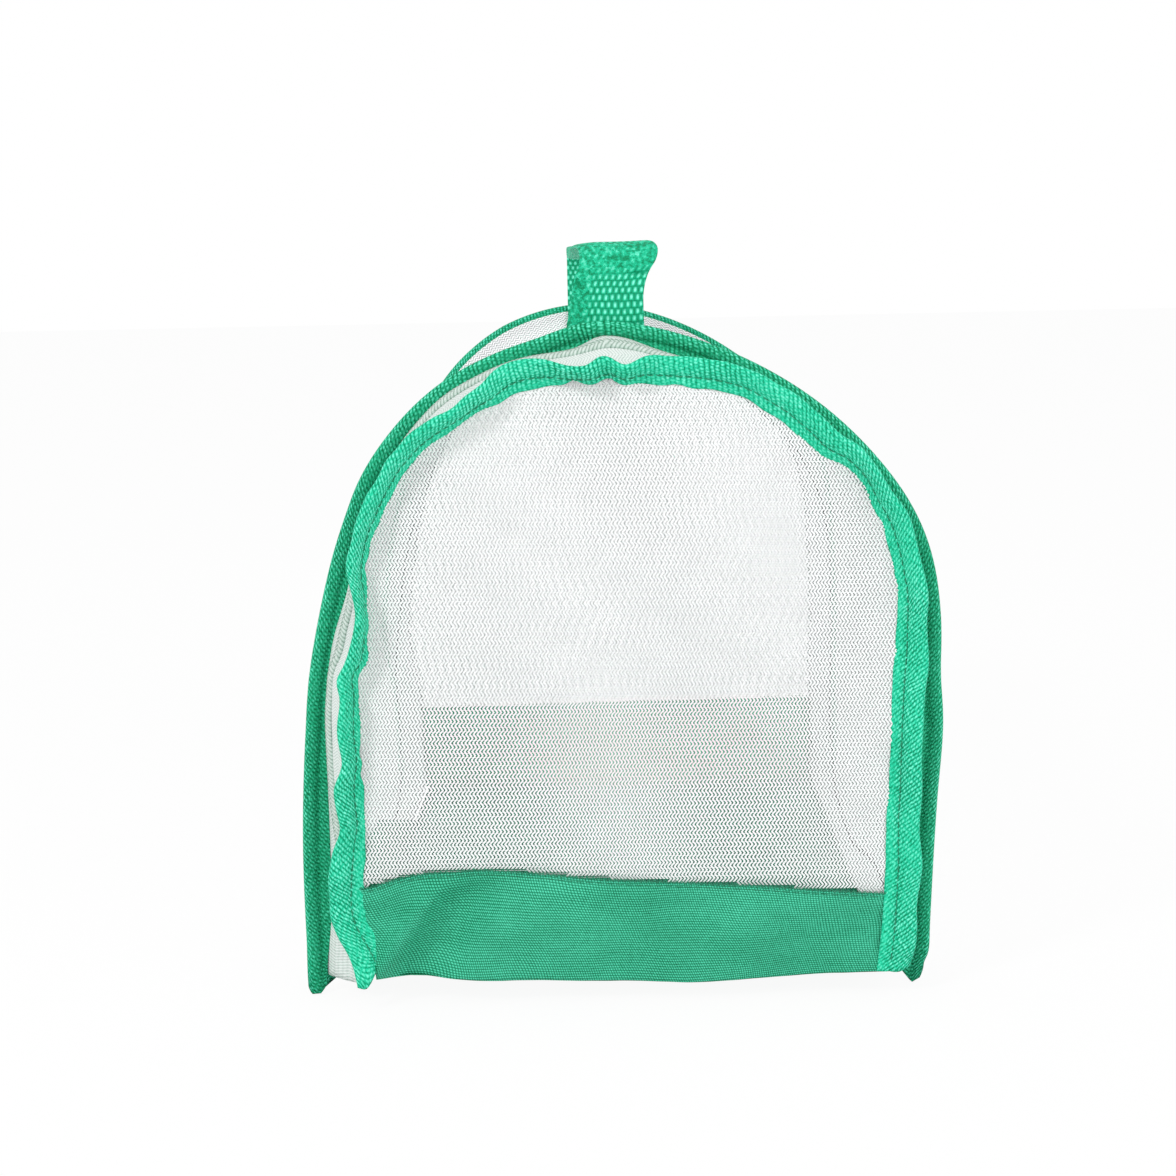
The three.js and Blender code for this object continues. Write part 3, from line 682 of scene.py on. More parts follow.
# where the tape's fin stands, out from the seam line
door_root = through(
    (0.0, -10.4), (0.0234, -10.5), (0.0306, -10.6), (0.0384, -10.2), (0.046, -8.9),
    (0.056, -7.3), (0.0625, -6.8), (0.075, -6.5), (0.085, -6.8), (0.1, -7.2), (0.12, -6.9),
    (0.14, -6.3), (0.16, -5.6), (0.18, -4.3), (0.2, -3.4), (0.213, -3.2), (0.22, -4.6),
    (0.24, -4.0), (0.26, -2.4), (0.28, -0.5), (0.3, 0.9), (0.32, 1.0), (0.34, 1.6), (0.36, 1.4),
    (0.38, 0.3), (0.4, -0.4), (0.42, -1.1), (0.44, -1.5), (0.46, -3.0), (0.48, -4.2),
    (0.5, -5.2), (0.52, -4.3), (0.54, -3.6), (0.56, -1.5), (0.58, 0.2), (0.6, -0.1),
    (0.62, -0.7), (0.637, -0.9), (0.65, 1.2), (0.66, 1.9), (0.68, 0.7), (0.72, -1.4),
    (0.74, -2.2), (0.76, -3.6), (0.78, -4.6), (0.8, -4.8), (0.82, -4.6), (0.86, -4.3),
    (0.88, -4.5), (0.92, -4.3), (0.96, -4.8), (1.0, -6.2),
)
# how far the fin is turned towards the front, in degrees
door_turn = through(
    (0.0, 52), (0.0234, 47), (0.0306, 38), (0.0384, 27), (0.046, 24), (0.056, 24), (0.0625, 25),
    (0.075, 30), (0.085, 34), (0.1, 34), (0.12, 57), (0.14, 51), (0.16, 65), (0.18, 65),
    (0.2, 72), (0.22, 62), (0.24, 80), (0.26, 83), (0.28, 66), (0.3, 68), (0.33, 63),
    (0.36, 65), (0.38, 62), (0.4, 68), (0.42, 59), (0.44, 36), (0.46, 42), (0.475, 63),
    (0.484, 66), (0.497, 42), (0.508, 60), (0.52, 46), (0.54, 28), (0.56, 32), (0.58, 38),
    (0.62, 31), (0.64, 42), (0.66, 59), (0.7, 49), (0.74, 50), (0.78, 33), (0.84, 43),
    (0.88, 33), (0.92, 20), (0.96, 8), (1.0, 6),
)
# how much the tape is puckered: much at the left and over the crown, little on the right leg
door_pucker = through(
    (0.0, 0.3), (0.08, 0.8), (0.3, 1.0), (0.5, 1.15), (0.6, 0.8), (0.72, 0.45), (0.8, 0.12), (1.0, 0.1),
)
# small notches of its edge over the net: share of the arch, depth and half their width
NOTCHES = (
    (0.15, 0.7, 2.0), (0.163, 0.7, 2.0), (0.282, 0.6, 2.0),
    (0.4735, 1.5, 2.2), (0.497, 1.4, 3.0), (0.542, 0.8, 3.0),
)
FIN_HEIGHT = 8.6
FIN_RADIUS = 0.95
STITCH_GROOVE = 3.2
scallop, ripple_slow, ripple_fast = wobble(21, 15), wobble(22, 21), wobble(23, 9)
left_foot, right_foot = DOOR_FOOT + 2.3, ARCH - DOOR_FOOT - 1.5


def root_edge(t):
    """Where the tape's edge lies over the net, notches and all."""
    waves = np.clip(scallop(t), -1, 1)
    edge = door_root(t) + door_pucker(t) * (0.3 * waves + 0.22 * ripple_fast(t)) - 0.7 * hump(t, 22, 6)
    seen = np.clip(np.cos(np.radians(door_turn(t))), 0.45, 1)
    for share, deep, half in NOTCHES:
        edge = edge + deep / seen * hump(t, share * ARCH, half)
    return edge


def door_place(t, along, across):
    """A point of the door's binding, from its place up the fin and off its middle."""
    turn = np.radians(door_turn(t))
    bend = door_pucker(t) * (0.45 * ripple_slow(t) + 0.4 * ripple_fast(t))
    lift = bend * (np.abs(along) / 8.5) ** 1.2
    out = along * np.cos(turn) + across * np.sin(turn)
    y = -along * np.sin(turn) + across * np.cos(turn) - lift * 0.6
    p = at(t, door_root(t) + out + 0.5 * lift, DOOR + y)
    # the left foot hangs down in a point, the right one's outer corner is rounded
    point = hump(along, 7.2, 1.8) * fade(t, left_foot, left_foot + 8)
    corner = 1.9 * np.clip((along - 4.6) / 4, 0, 1) ** 2 * ease(t, right_foot - 6, right_foot)
    heel = 3.2 * fade(along, 1.5, 7.5) * fade(t, left_foot, left_foot + 9)
    p[..., 2] += corner - point + heel
    return p


def door_binding():
    t = steps(left_foot, right_foot, 1.1)
    k = 13
    turn = np.linspace(-np.pi / 2, np.pi / 2, 9)
    rows = []
    for a in t:
        swell = 0.22 * ripple_fast(a + 40)
        top = FIN_HEIGHT - FIN_RADIUS + 0.35 * ripple_slow(a + 90)
        near = np.linspace(root_edge(a) - door_root(a), top, k)[:-1]
        far = np.linspace(0.9, top, k)[:-1]

        def half(place):
            belly = 0.35 * np.sin(np.pi * np.clip((place - 3.4) / 4.4, 0, 1))
            seam = 0.3 * hump(place, STITCH_GROOVE, 0.55)
            return 0.92 + belly - seam + swell * (1 - place / FIN_HEIGHT)

        fold = points_of(top + FIN_RADIUS * np.cos(turn), FIN_RADIUS * np.sin(turn))
        rows.append(folded(near, far, half, fold))
    loop = loop_round(np.array(rows), 0, 0.4)
    p = door_place(t[:, None], loop[..., 0], loop[..., 1])
    return closed_piece("door_edge_tape", door_binding_look, p, t, tape_girth(loop, k - 1))


def door_stitches():
    """One row of lock stitches through the door's binding, sunk in its groove."""
    parts = Parts()
    pitch, length = 2.3, 1.7
    for a in np.arange(left_foot + 3, right_foot - 3, pitch):
        line = []
        for s in np.linspace(0, length, 5):
            sunk = -0.66 - 0.28 * math.sin(math.pi * s / length)
            line.append(door_place(np.array(a + s), np.array(STITCH_GROOVE), np.array(sunk)))
        parts.tube(line, 0.13, 5)
    return parts.object("door_edge_stitches", green_thread)


enter(
    door_binding(), "door", "door_binding", "binding",
    flat=(0.0175, 0.378), held="folded", rests_on=["door_net"],
)
enter(door_stitches(), "door")


# The zipper

HOOP_SEAM_Y = -0.3
BAND = 13.0
TAPE_HALF_THICK = 0.24
# where the chain lies between the two seams
chain_share = through(
    (0.0, 0.8), (0.07, 0.76), (0.1, 0.55), (0.14, 0.34), (0.17, 0.3), (0.2, 0.34), (0.235, 0.5),
    (0.27, 0.72), (0.31, 0.6), (0.4, 0.4), (0.7, 0.4), (1.0, 0.4),
)


def band_line(t, share):
    """The zipper's middle surface between the two seams, as (out, y). It bows away from the cage."""
    bow = 4 * share * (1 - share)
    start_out, end_out = hoop_seam(t), door_root(t) + 0.6
    end_y = DOOR - FRONT + 0.6
    out = start_out + (end_out - start_out) * share + 1.5 * bow
    y = HOOP_SEAM_Y + (end_y - HOOP_SEAM_Y) * share - 0.4 * bow
    return out, y


def band_point(t, share, lift):
    """A point over the band's middle surface, as (out, y)."""
    out, y = band_line(t, share)
    ahead_out, ahead_y = band_line(t, share + 0.02)
    way_out, way_y = ahead_out - out, ahead_y - y
    size = np.hypot(way_out, way_y)
    return out - way_y / size * lift, y + way_out / size * lift


def zipper_tape(name, side, seed):
    """The tape from the hoop's seam to the chain (side -1), or from the chain to the door's (1)."""
    if side < 0:
        t = steps(4.8, ARCH - 6.8, 1.8)
        shares, flange = np.linspace(0, 1, 6), [(6.2, -0.2)]
    else:
        t = steps(left_foot + 0.9, ARCH - CHAIN_END, 1.8)
        shares, flange = np.linspace(0, 1, 8), []
    ripple = wobble(seed, 17)
    rows = []
    for a in t:
        line = list(flange)
        chain = chain_share(a)
        start, end = (0, chain - 0.02) if side < 0 else (chain + 0.02, 1)
        for s in start + (end - start) * shares:
            out, y = band_line(a, s)
            line.append((out, y - 0.25 * ripple(a) * math.sin(math.pi * min(1, abs(s - chain) * 2))))
        if side > 0:
            line.append((door_root(a) + 3.0, DOOR - FRONT + 0.5))
        rows.append(line)
    loop = loop_round(np.array(rows, float), TAPE_HALF_THICK, -TAPE_HALF_THICK)
    p = at(t[:, None], loop[..., 0], FRONT + loop[..., 1])
    girth = run_of(loop[len(t) // 2])
    girth = np.append(girth, girth[-1] + 2 * TAPE_HALF_THICK)
    return closed_piece(name, tape_look, p, t, girth)


def zipper_coil(name, side):
    """Half of the closed chain: slanted turns of nylon under their sewn cover, which meet the
    other half's in a wavy line."""
    half, height, pitch = 1.45, 0.85, 2.0
    t = steps(left_foot + 1.2, ARCH - CHAIN_END, 0.27)
    meet = (0.2 * np.sin(2 * np.pi * t / pitch) + side * 0.02)[:, None]
    place = np.linspace(0, 1, 8)
    across = meet + (side * half - meet) * place
    turn = np.sin(2 * np.pi * (t[:, None] / (pitch / 2) + 0.8 * np.abs(across)))
    ridge = np.sqrt(np.clip(1 - (np.abs(across) / (half + 0.05)) ** 2, 0, 1))
    lift = 0.2 + height * ridge + 0.13 * turn * np.sqrt(ridge) - 0.14 * hump(place, 0, 0.12)
    share = chain_share(t)[:, None] + across / BAND
    top_out, top_y = band_point(t[:, None], share, lift)
    low_out, low_y = band_point(t[:, None], share, 0.18)
    out = np.concatenate([top_out, low_out[:, ::-1]], 1)
    y = np.concatenate([top_y, low_y[:, ::-1]], 1)
    v = np.concatenate([half * place, half * place[::-1], [0.0]])
    return closed_piece(name, coil_look, at(t[:, None], out, FRONT + y), t, v)


enter(
    zipper_tape("hoop_side_tape", -1, 31), "front_frame", "zipper_tape_hoop", "zipper_tape",
    flat=(0.0105, 0.388), held="stretched", rests_on=["front_hoop_binding"],
)
enter(
    zipper_tape("door_side_tape", 1, 32), "door", "zipper_tape_door", "zipper_tape",
    flat=(0.0115, 0.370), held="stretched", rests_on=["door_binding"],
)
enter(zipper_coil("hoop_side_coil", -1), "front_frame", "zipper_coil_hoop", "zipper_coil")
enter(zipper_coil("door_side_coil", 1), "door", "zipper_coil_door", "zipper_coil")


# The nets of the door and the rear


def net_panel(name, y, outs, foot, bulge, seed):
    """Zigzag strands of knit in upright columns, tied by fine cross threads. Gives the piece and
    the area, width and height of its sheet, in metres."""
    parts = Parts()
    width, crest, tie_half = 0.53, 0.2, 0.08
    half_period = KNIT_PERIOD / 2
    dense = np.linspace(0, ARCH, 1600)
    half = len(dense) // 2
    edge = at(dense, outs(dense), 0.0)
    left_edge, right_edge = edge[:half], edge[half:][::-1]
    top = edge[:, 2].max()
    left_end, right_end = edge[:, 0].min(), edge[:, 0].max()
    slow, fast = wobble(seed, 45), wobble(seed + 1, 17)

    def ends(z):
        """The panel's left and right ends at a height."""
        return [np.interp(z, side[:, 2], side[:, 0]) for side in (left_edge, right_edge)]

    def depth(x, z):
        rise = np.clip((z - foot(x)) / (top - foot(x)), 0, 1)
        dome = np.cos(np.clip(x / 72, -1, 1) * np.pi / 2) * np.sin(np.pi * rise)
        tucked = 0.6 * fade(z - foot(x), 0, 2.5)
        return y + bulge * dome + 0.35 * slow(x + 1.7 * z) + 0.12 * fast(x - z) + tucked

    heights = np.linspace(0, top, 600)
    reach_left, reach_right = ends(heights)
    for x in np.arange(left_end + 0.7, right_end - 0.2, KNIT_PITCH):
        inside = np.abs(reach_left if x < 0 else reach_right) > abs(x)
        column = heights[inside & (heights >= foot(x))]
        if len(column) < 4:
            continue
        first = math.ceil(column.min() / half_period)
        last = math.floor(column.max() / half_period)
        if last - first < 2:
            continue
        n = np.arange(first, last + 1)
        z = n * half_period
        wander = 0.7 * np.sin(x / 11 + seed) * np.sin(z / 31 + x / 47)
        mid = x + KNIT_SWING * np.where(n % 2, 1, -1) * 0.5 + wander
        across = mid[:, None] + np.array([-width / 2, 0, width / 2])
        z = z[:, None]
        p = points_of(across, depth(across, z) + [0, -crest, 0], z)
        parts.grid(p, z, [0, width / 2, width])
    for z in np.arange(foot(0.0) + 1, top - 1, half_period):
        x = steps(*ends(z), 6.0)
        x = x[z > foot(x)][:, None]
        if len(x) < 2:
            continue
        tie = z + np.array([-tie_half, tie_half])
        parts.grid(points_of(x, depth(x, tie) + 0.05, tie), x, [0, 2 * tie_half])
    slices = np.arange(0, top, 0.5)
    left, right = ends(slices[slices > foot(0.0)])
    area = ((right - left) * 0.5).sum() * 1e-6
    return parts.object(name, strand_look), area, ((right_end - left_end) * MM, (top - foot(0.0)) * MM)


def door_strip_top(x):
    humps = 3.9 * hump(x, -34, 27) + 1.0 * hump(x, 8, 26)
    ends = 2.0 * hump(x, -62, 7) + 1.4 * ease(x, 30, 68)
    return 30.5 + humps - ends - 0.024 * (x + 34)


def door_strip_foot(x):
    return 4.6 + 0.037 * np.hypot(x - 16, 6)


def rear_strip_top(x):
    return STRIP_TOP - 0.8 + 0.012 * x


DOOR_CLOTH_Y = DOOR - 0.3
REAR_CLOTH_Y = REAR + 0.43
net, area, size = net_panel(
    "door_knit", DOOR_CLOTH_Y, lambda t: door_root(t) + 1.7, lambda x: door_strip_top(x) - 0.3, -1.6, 41
)
enter(net, "door", "door_net", "net", flat=size, held="stretched", rests_on=["door_binding"], area=area)
net, area, size = net_panel(
    "rear_knit", REAR_CLOTH_Y, lambda t: 2.0 + 0 * t, lambda x: rear_strip_top(x) - 1.0, 0.8, 51
)
enter(
    net, "rear_frame", "rear_net", "net",
    flat=size, held="stretched", rests_on=["rear_hoop_binding"], area=area,
)


# The green strips at the feet of both panels

STRIP_HALF_THICK = 0.25


def strip(name, y, outs, top, foot, folds, seed):
    """The cloth at the foot of a panel, hemmed at its top, as a sheet with two faces."""
    columns, rows = 150, 30
    share_x, share_z = np.linspace(0, 1, columns), np.linspace(0, 1, rows)
    slow, fast = wobble(seed, 38), wobble(seed + 1, 13)
    from_foot = np.linspace(0, 60, 300)
    left = at(from_foot, outs(from_foot), 0.0)
    right = at(ARCH - from_foot, outs(ARCH - from_foot), 0.0)
    x, z = np.zeros((columns, rows)), np.zeros((columns, rows))
    for j, s in enumerate(share_z):
        # walks up between the foot and top lines, with its ends on the arch
        height = np.full(columns, 4.0 + 26 * s)
        for _ in range(2):
            x_left = np.interp(height[0], left[:, 2], left[:, 0])
            x_right = np.interp(height[-1], right[:, 2], right[:, 0])
            line = x_left + (x_right - x_left) * share_x
            height = foot(line) + (top(line) - foot(line)) * s
        x[:, j], z[:, j] = line, height
    hem = 0.28 * ease(z, top(x) - 5.6, top(x) - 5.0)
    relief = folds(x, z) + 0.35 * slow(x + 0.6 * z) + 0.1 * fast(x * 1.3 - z)
    sink = 0.35 * hump(top(x) - z, 1.3, 0.4)
    y = y - relief - hem + sink
    front, back = points_of(x, y - STRIP_HALF_THICK, z), points_of(x, y + STRIP_HALF_THICK, z)
    loop = np.concatenate([front, back[:, ::-1]], 1)
    v = np.concatenate([share_z * 26, 26.5 + share_z * 26, [53.0]])
    return closed_piece(name, cloth_look, loop, x[:, rows // 2], v), front


def door_folds(x, z):
    """A sharp fold that climbs from the left corner to the hem with a hollow behind it, softer ones
    further on, and a slack swell along the middle."""
    slant = (x + 60.4) * 0.84 - (z - 9) * 0.54
    held = 1 - 0.85 * ease(z, door_strip_top(x) - 7, door_strip_top(x) - 0.5)
    ridge = 3.0 * hump(slant, 1.5, 3.0) * ease(z, 2, 12)
    hollow = -3.0 * hump(slant, 10.5, 5.6)
    beyond = 1.6 * hump(slant, 24, 8.0)
    soft = 0.9 * np.sin(((x - 4) * 0.8 - z * 0.7) / 6.5) * ease(x, -12, 12)
    belly = 1.0 * np.sin(np.pi * np.clip((z - 4) / 27, 0, 1)) * np.cos(x / 62 * np.pi / 2)
    return (ridge + hollow + beyond + soft) * held + belly


def flat_folds(x, z):
    return 0.4 * np.sin(x / 15) * np.sin(np.pi * np.clip(z / 30, 0, 1))


def strip_stitches(name, front):
    """Lock stitches just under the hem, and the knit's dark closing loops along the top."""
    parts = Parts()
    pitch, length, zigzag_pitch = 2.4, 1.8, 0.68
    top_row, under_row = front[:, -1], front[:, -2]

    def on(row, x):
        return [np.interp(x, row[:, 0], row[:, i]) for i in range(3)]

    for a in np.arange(top_row[0, 0] + 3, top_row[-1, 0] - 3, pitch):
        line = np.array([on(under_row, a + s) for s in np.linspace(0, length, 4)])
        line[:, 1] -= 0.05 + 0.14 * np.sin(np.pi * np.linspace(0, 1, 4))
        parts.tube(line, 0.08, 5)
    zigzag = np.arange(top_row[0, 0] + 1, top_row[-1, 0] - 1, zigzag_pitch)
    line = np.array([on(top_row, a) for a in zigzag])
    line[:, 1] -= 0.12
    line[:, 2] += 0.1 + np.where(np.arange(len(line)) % 2, 0.45, -0.25)
    parts.tube(line, 0.14, 4)
    return parts.object(name, green_thread)


door_strip, door_strip_front = strip(
    "door_foot_cloth", DOOR_CLOTH_Y, lambda t: door_root(t) + 1.6,
    door_strip_top, door_strip_foot, door_folds, 61,
)
enter(
    door_strip, "door", "door_strip", "cloth",
    flat=(0.132, 0.027), held="stretched", rests_on=["door_binding"],
)
rear_strip, rear_strip_front = strip(
    "rear_foot_cloth", REAR_CLOTH_Y, lambda t: 3.0 + 0 * t,
    rear_strip_top, lambda x: 0.2 + 0 * x, flat_folds, 63,
)
enter(
    rear_strip, "rear_frame", "rear_strip", "cloth",
    flat=(0.144, 0.030), held="stretched", rests_on=["rear_hoop_binding"],
)
enter(strip_stitches("door_hem_stitches", door_strip_front), "door")
enter(strip_stitches("rear_hem_stitches", rear_strip_front), "rear_frame")


# The tunnel, its floor and its seams

DRAW_IN = 2.2
SEAM_BACK = 138.0
CREASE = 0.5


def crease(y):
    """How deep the seam round the tunnel draws it in."""
    return CREASE * hump(y, SEAM_BACK, 3.0)


def tunnel():
    """One sheet of knit, turned out at both hoops, drawn in a little between them and puckered
    where it is sewn."""
    t = steps(0.0, ARCH, 2.4)
    flange_front = [(6.0, 0.25), (3.0, 0.22), (0.5, 0.3)]
    flange_rear = [(0.6, -1.6), (3.5, -1.4), (5.2, -1.75), (6.3, -2.15), (7.0, -2.15)]
    flange_rear = [(out, DEPTH + back) for out, back in flange_rear]
    y = np.concatenate([[1.2], steps(4.0, DEPTH - 6, 4.0), [DEPTH - 2.8]])
    sag, pucker_front, pucker_rear = wobble(71, 60), wobble(72, 11), wobble(73, 13)
    rows = []
    for a in t:
        share = y / DEPTH
        draw = DRAW_IN * np.sin(np.pi * share) * (1 + 0.25 * sag(a + 35 * share))
        near = np.exp(-y / 14) * pucker_front(a) * 0.5
        far = np.exp(-(DEPTH - y) / 14) * pucker_rear(a) * 0.5
        out = (-draw + near + far - crease(y)) * ease(from_ground(a), 0, 14)
        rows.append(flange_front + list(zip(out, y)) + flange_rear)
    line = np.array(rows)
    p = at(t[:, None], line[..., 0], FRONT + line[..., 1])
    # its front corners are held up over the ground
    corner = fade(line[..., 1], 0, 28) * fade(from_ground(t), 0, 14)[:, None]
    p[..., 2] += np.where(t < ARCH / 2, 4.0, 6.0)[:, None] * corner
    return Parts().grid(p, t, run_of(line[len(t) // 2])).object("tunnel_knit", net_look)


def floor_sheet():
    """The floor's cloth. Its left edge is turned up higher towards the front corner."""
    y = steps(-0.7, DEPTH - 0.6, 4.0)
    half = HALF_WIDTH - LEG_BOW - 0.5
    left_end = -half + 1.6
    rest, right_lip = 0.45, 2.5
    slow, fast = wobble(81, 50), wobble(82, 18)
    lip = np.linspace(1, 0, 8)
    x = np.linspace(left_end, half, 46)
    rows = []
    for a in y:
        left_lip = 2.5 + 0.255 * min(max(165 - a, 0), 110)
        ripples = 0.35 * (1 + 0.6 * slow(x + 0.7 * a) + 0.3 * fast(x - a))
        held_up = (door_strip_foot(x) - 1.6) * fade(a, 0, 46)
        level = rest + ripples * np.cos(x / half * np.pi / 2) + held_up
        left = [(left_end - 0.4 * s, level[0] - 0.05 + left_lip * s) for s in lip[:-1]]
        right = [(half + 0.2 * s, level[-1] - 0.05 + right_lip * s) for s in lip[::-1][1:]]
        rows.append(left + list(zip(x, level)) + right)
    line = np.array(rows)
    p = points_of(line[..., 0], (FRONT + y)[:, None], line[..., 1])
    return Parts().grid(p, y, run_of(line[0])).object("floor_cloth", cloth_look)


def sill_sheet():
    """The cloth from the front hoop to the door's foot."""
    share = np.linspace(0, 1, 9)
    x = np.linspace(-1, 1, 60)
    soft = wobble(91, 24)
    rows = []
    for s in share:
        wide = x * (66.4 - 5.2 * s)
        y = -0.3 + (DOOR - FRONT + 0.9) * s
        z = door_strip_foot(wide) - 1.1 + 1.5 * s**0.85 + 0.2 * soft(wide) * math.sin(math.pi * s)
        rows.append(points_of(wide, FRONT + y, z))
    return Parts().grid(np.array(rows), share * 13, (x + 1) * 66).object("sill_cloth", cloth_look)


SEAM_STITCH = 0.62
SEAM_RADIUS = 0.26


def zigzag(count):
    return np.where(np.arange(count) % 2, 0.5, -0.5)


def wall_seam():
    """The zigzag seam round the tunnel, which turns forward near the ground on both walls."""
    parts = Parts()
    low = [(19 + 2.5 * math.sin(i / 9), y) for i, y in enumerate(np.linspace(8, SEAM_BACK - 28, 60))]
    corner = [
        (19 + 34 * (1 - math.cos(w)), SEAM_BACK - 28 + 28 * math.sin(w))
        for w in np.linspace(0, np.pi / 2, 20)
    ]
    path = np.array(low + corner + [(d, SEAM_BACK) for d in steps(54, ARCH / 2, 1.5)])
    for side in (-1, 1):
        if side > 0:
            path[:, 0] = ARCH - path[:, 0]
        run = run_of(path)
        along = np.arange(0, run[-1], SEAM_STITCH)
        t, y = np.interp(along, run, path[:, 0]), np.interp(along, run, path[:, 1])
        way_t, way_y = np.gradient(t), np.gradient(y)
        flip = zigzag(len(along)) / np.hypot(way_t, way_y)
        t, y = t - way_y * flip, y + way_t * flip
        draw = DRAW_IN * np.sin(np.pi * y / DEPTH) + crease(y)
        foot = ease(from_ground(t), 0, 14)
        parts.tube(at(t, -draw * foot - 0.2, FRONT + y), SEAM_RADIUS, 4)
    return parts.object("tunnel_seam_thread", seam_thread_painted_shade)


def rear_seam():
    t = np.arange(2, ARCH - 2, SEAM_STITCH)
    line = at(t, -0.4 + zigzag(len(t)), REAR - 0.7)
    return Parts().tube(line, SEAM_RADIUS, 4).object("rear_seam_thread", seam_thread_painted_shade)


tunnel_sheet = enter(
    tunnel(), "front_frame", "tunnel_net", "net",
    flat=(0.236, 0.399), held="stretched", rests_on=["front_hoop_binding", "rear_hoop_binding"],
)
floor_piece = enter(
    floor_sheet(), "front_frame", "floor_panel", "cloth",
    flat=(0.168, 0.223), held="laid", rests_on=["tunnel_net"], area=0.152 * 0.223,
)
enter(
    sill_sheet(), "front_frame", "front_sill", "cloth",
    flat=(0.128, 0.0122), held="stretched", rests_on=["floor_panel"],
)
wall_thread = enter(wall_seam(), "front_frame")
enter(rear_seam(), "rear_frame")


# The handle

WEBBING = 20.0
# its left and right edges in x, by the way along it
HANDLE_LEFT = (
    (0, -10.3), (4.5, -10.0), (11, -8.7), (16, -7.9), (20, -7.2), (24, -6.0), (32, -6.6),
    (46, -8.2), (60, -8.2), (399, -8.2),
)
HANDLE_RIGHT = (
    (0, 10.1), (4.5, 10.0), (12, 9.8), (15.5, 9.9), (18.2, 10.5), (20.5, 11.5), (22.8, 13.0),
    (25, 13.6), (30, 12.4), (46, 11.6), (60, 11.6), (399, 11.6),
)


def handle():
    """The webbing stands up behind the front hoop, bends back and runs over the roof to the rear.
    Its left third is turned a little, and its right edge lifts at the bend. Gives its length too."""
    low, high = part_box("handle_strap")
    top = high.z / MM - 1.3
    front, rear = low.y / MM + 0.7, high.y / MM - 0.7
    base = CROWN + 0.4
    bend, sag = 6.0, 3
    path = [(front, z) for z in np.linspace(base, top - bend, 24)]
    path += [
        (front + bend * (1 - math.cos(w)), top - bend + bend * math.sin(w))
        for w in np.linspace(0, np.pi / 2, 10)[1:]
    ]
    flat_start, flat_end = front + bend, rear - bend
    path += [
        (y, top - sag * math.sin(math.pi * (y - flat_start) / (flat_end - flat_start)))
        for y in np.linspace(flat_start, flat_end, 90)[1:-1]
    ]
    path += [
        (rear - bend * (1 - math.sin(w)), top - bend * (1 - math.cos(w)))
        for w in np.linspace(0, np.pi / 2, 10)
    ]
    path += [(rear, z) for z in np.linspace(top - bend, base, 24)[1:]]
    path = np.array(path)
    run = run_of(path)
    along = steps(0, run[-1], 0.55)
    line = points_of(*[np.interp(along, run, path[:, i]) for i in range(2)])
    way = np.gradient(line, axis=0)
    way /= np.linalg.norm(way, axis=1, keepdims=True)
    across = np.linspace(-WEBBING / 2, WEBBING / 2, 50)
    riser = fade(along, 12, 22)[:, None]
    bent = hump(along, 25, 7)[:, None]
    right_side = np.clip(across / 10, 0, 1)[None]
    left_side = np.clip((-across - 4.6) / 5.4, 0, 1)[None]
    # the left third is folded back behind a crease with a hollow beside it
    fold_back = riser * (2.3 * left_side + 0.55 * hump(across, -3.2, 1.4)[None])
    tuck = 1.3 * hump(along, 19.5, 0.9)[:, None] * ease(across, 3.5, 6.5)[None]
    left_x, right_x = (
        through(*[(a / ARCH, x) for a, x in table])(along)[:, None] for table in (HANDLE_LEFT, HANDLE_RIGHT)
    )
    thin_edge = (np.abs(across) / (WEBBING / 2)) ** 14 * 0.45

    def face(side):
        half = side * (0.7 - thin_edge)[None]
        # seen from the front, the normal of the riser points towards -Y
        y = line[:, 0:1] - way[:, 1:2] * half + fold_back + tuck
        z = line[:, 1:2] + way[:, 0:1] * half + bent * (0.7 * right_side**2 - 1.3 * left_side**2)
        return points_of(left_x + (right_x - left_x) * (across / WEBBING + 0.5)[None], y, z)

    loop = np.concatenate([face(1), face(-1)[:, ::-1]], 1)
    loop[..., 0] -= 2.3 + 1.9 * ease(loop[..., 1], FRONT + 30, REAR - 20)
    v = np.concatenate([across + 10, 20.5 + (across + 10), [41.0]])
    return closed_piece("handle_webbing", webbing_look, loop, along, v, lean=False), run[-1]


handle_piece, handle_run = handle()
enter(
    handle_piece, "front_frame", "handle_strap", "webbing",
    flat=(0.020, handle_run * MM), held="stretched", rests_on=["tunnel_net"],
)

# Each piece over the fold gets a mesh of its own; the fold's travel is read and not used
fold_joint = next(j for j in frame["joints"] if j["name"] == "fold_slide")
travel = fold_joint["range_m"][1] / MM
for piece in (tunnel_sheet, floor_piece, handle_piece, wall_thread):
    1 - travel / DEPTH
    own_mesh(piece)

# The hard parts keep their CAD shapes
for node in ("zipper_slider", "zipper_pull"):
    held = frame["nodes"][node]
    held.data.materials.clear()
    held.data.materials.append(metal_look)


# The studio: its floor, light and camera


def show_white(tree, output_kind, lit, seen, share=1.0):
    """Wires two (kind, grey, strength) shaders: "seen" for rays from the camera, a mirror or
    glass, as far as "share" says, and "lit" for all others."""
    nodes, links = tree.nodes, tree.links
    nodes.clear()
    mix = nodes.new("ShaderNodeMixShader")
    path = nodes.new("ShaderNodeLightPath")
    direct = path.outputs["Is Camera Ray"]
    for ray in ("Is Glossy Ray", "Is Transmission Ray"):
        either = nodes.new("ShaderNodeMath")
        either.operation = "MAXIMUM"
        links.new(direct, either.inputs[0])
        links.new(path.outputs[ray], either.inputs[1])
        direct = either.outputs[0]
    part = nodes.new("ShaderNodeMath")
    part.operation = "MULTIPLY"
    part.inputs[1].default_value = share
    links.new(direct, part.inputs[0])
    links.new(part.outputs[0], mix.inputs[0])
    for place, (kind, grey, strength) in ((1, lit), (2, seen)):
        shader = nodes.new(kind)
        shader.inputs["Color"].default_value = (grey, grey, grey, 1)
        if strength is not None:
            shader.inputs["Strength"].default_value = strength
        links.new(shader.outputs[0], mix.inputs[place])
    links.new(mix.outputs[0], nodes.new(output_kind).inputs[0])


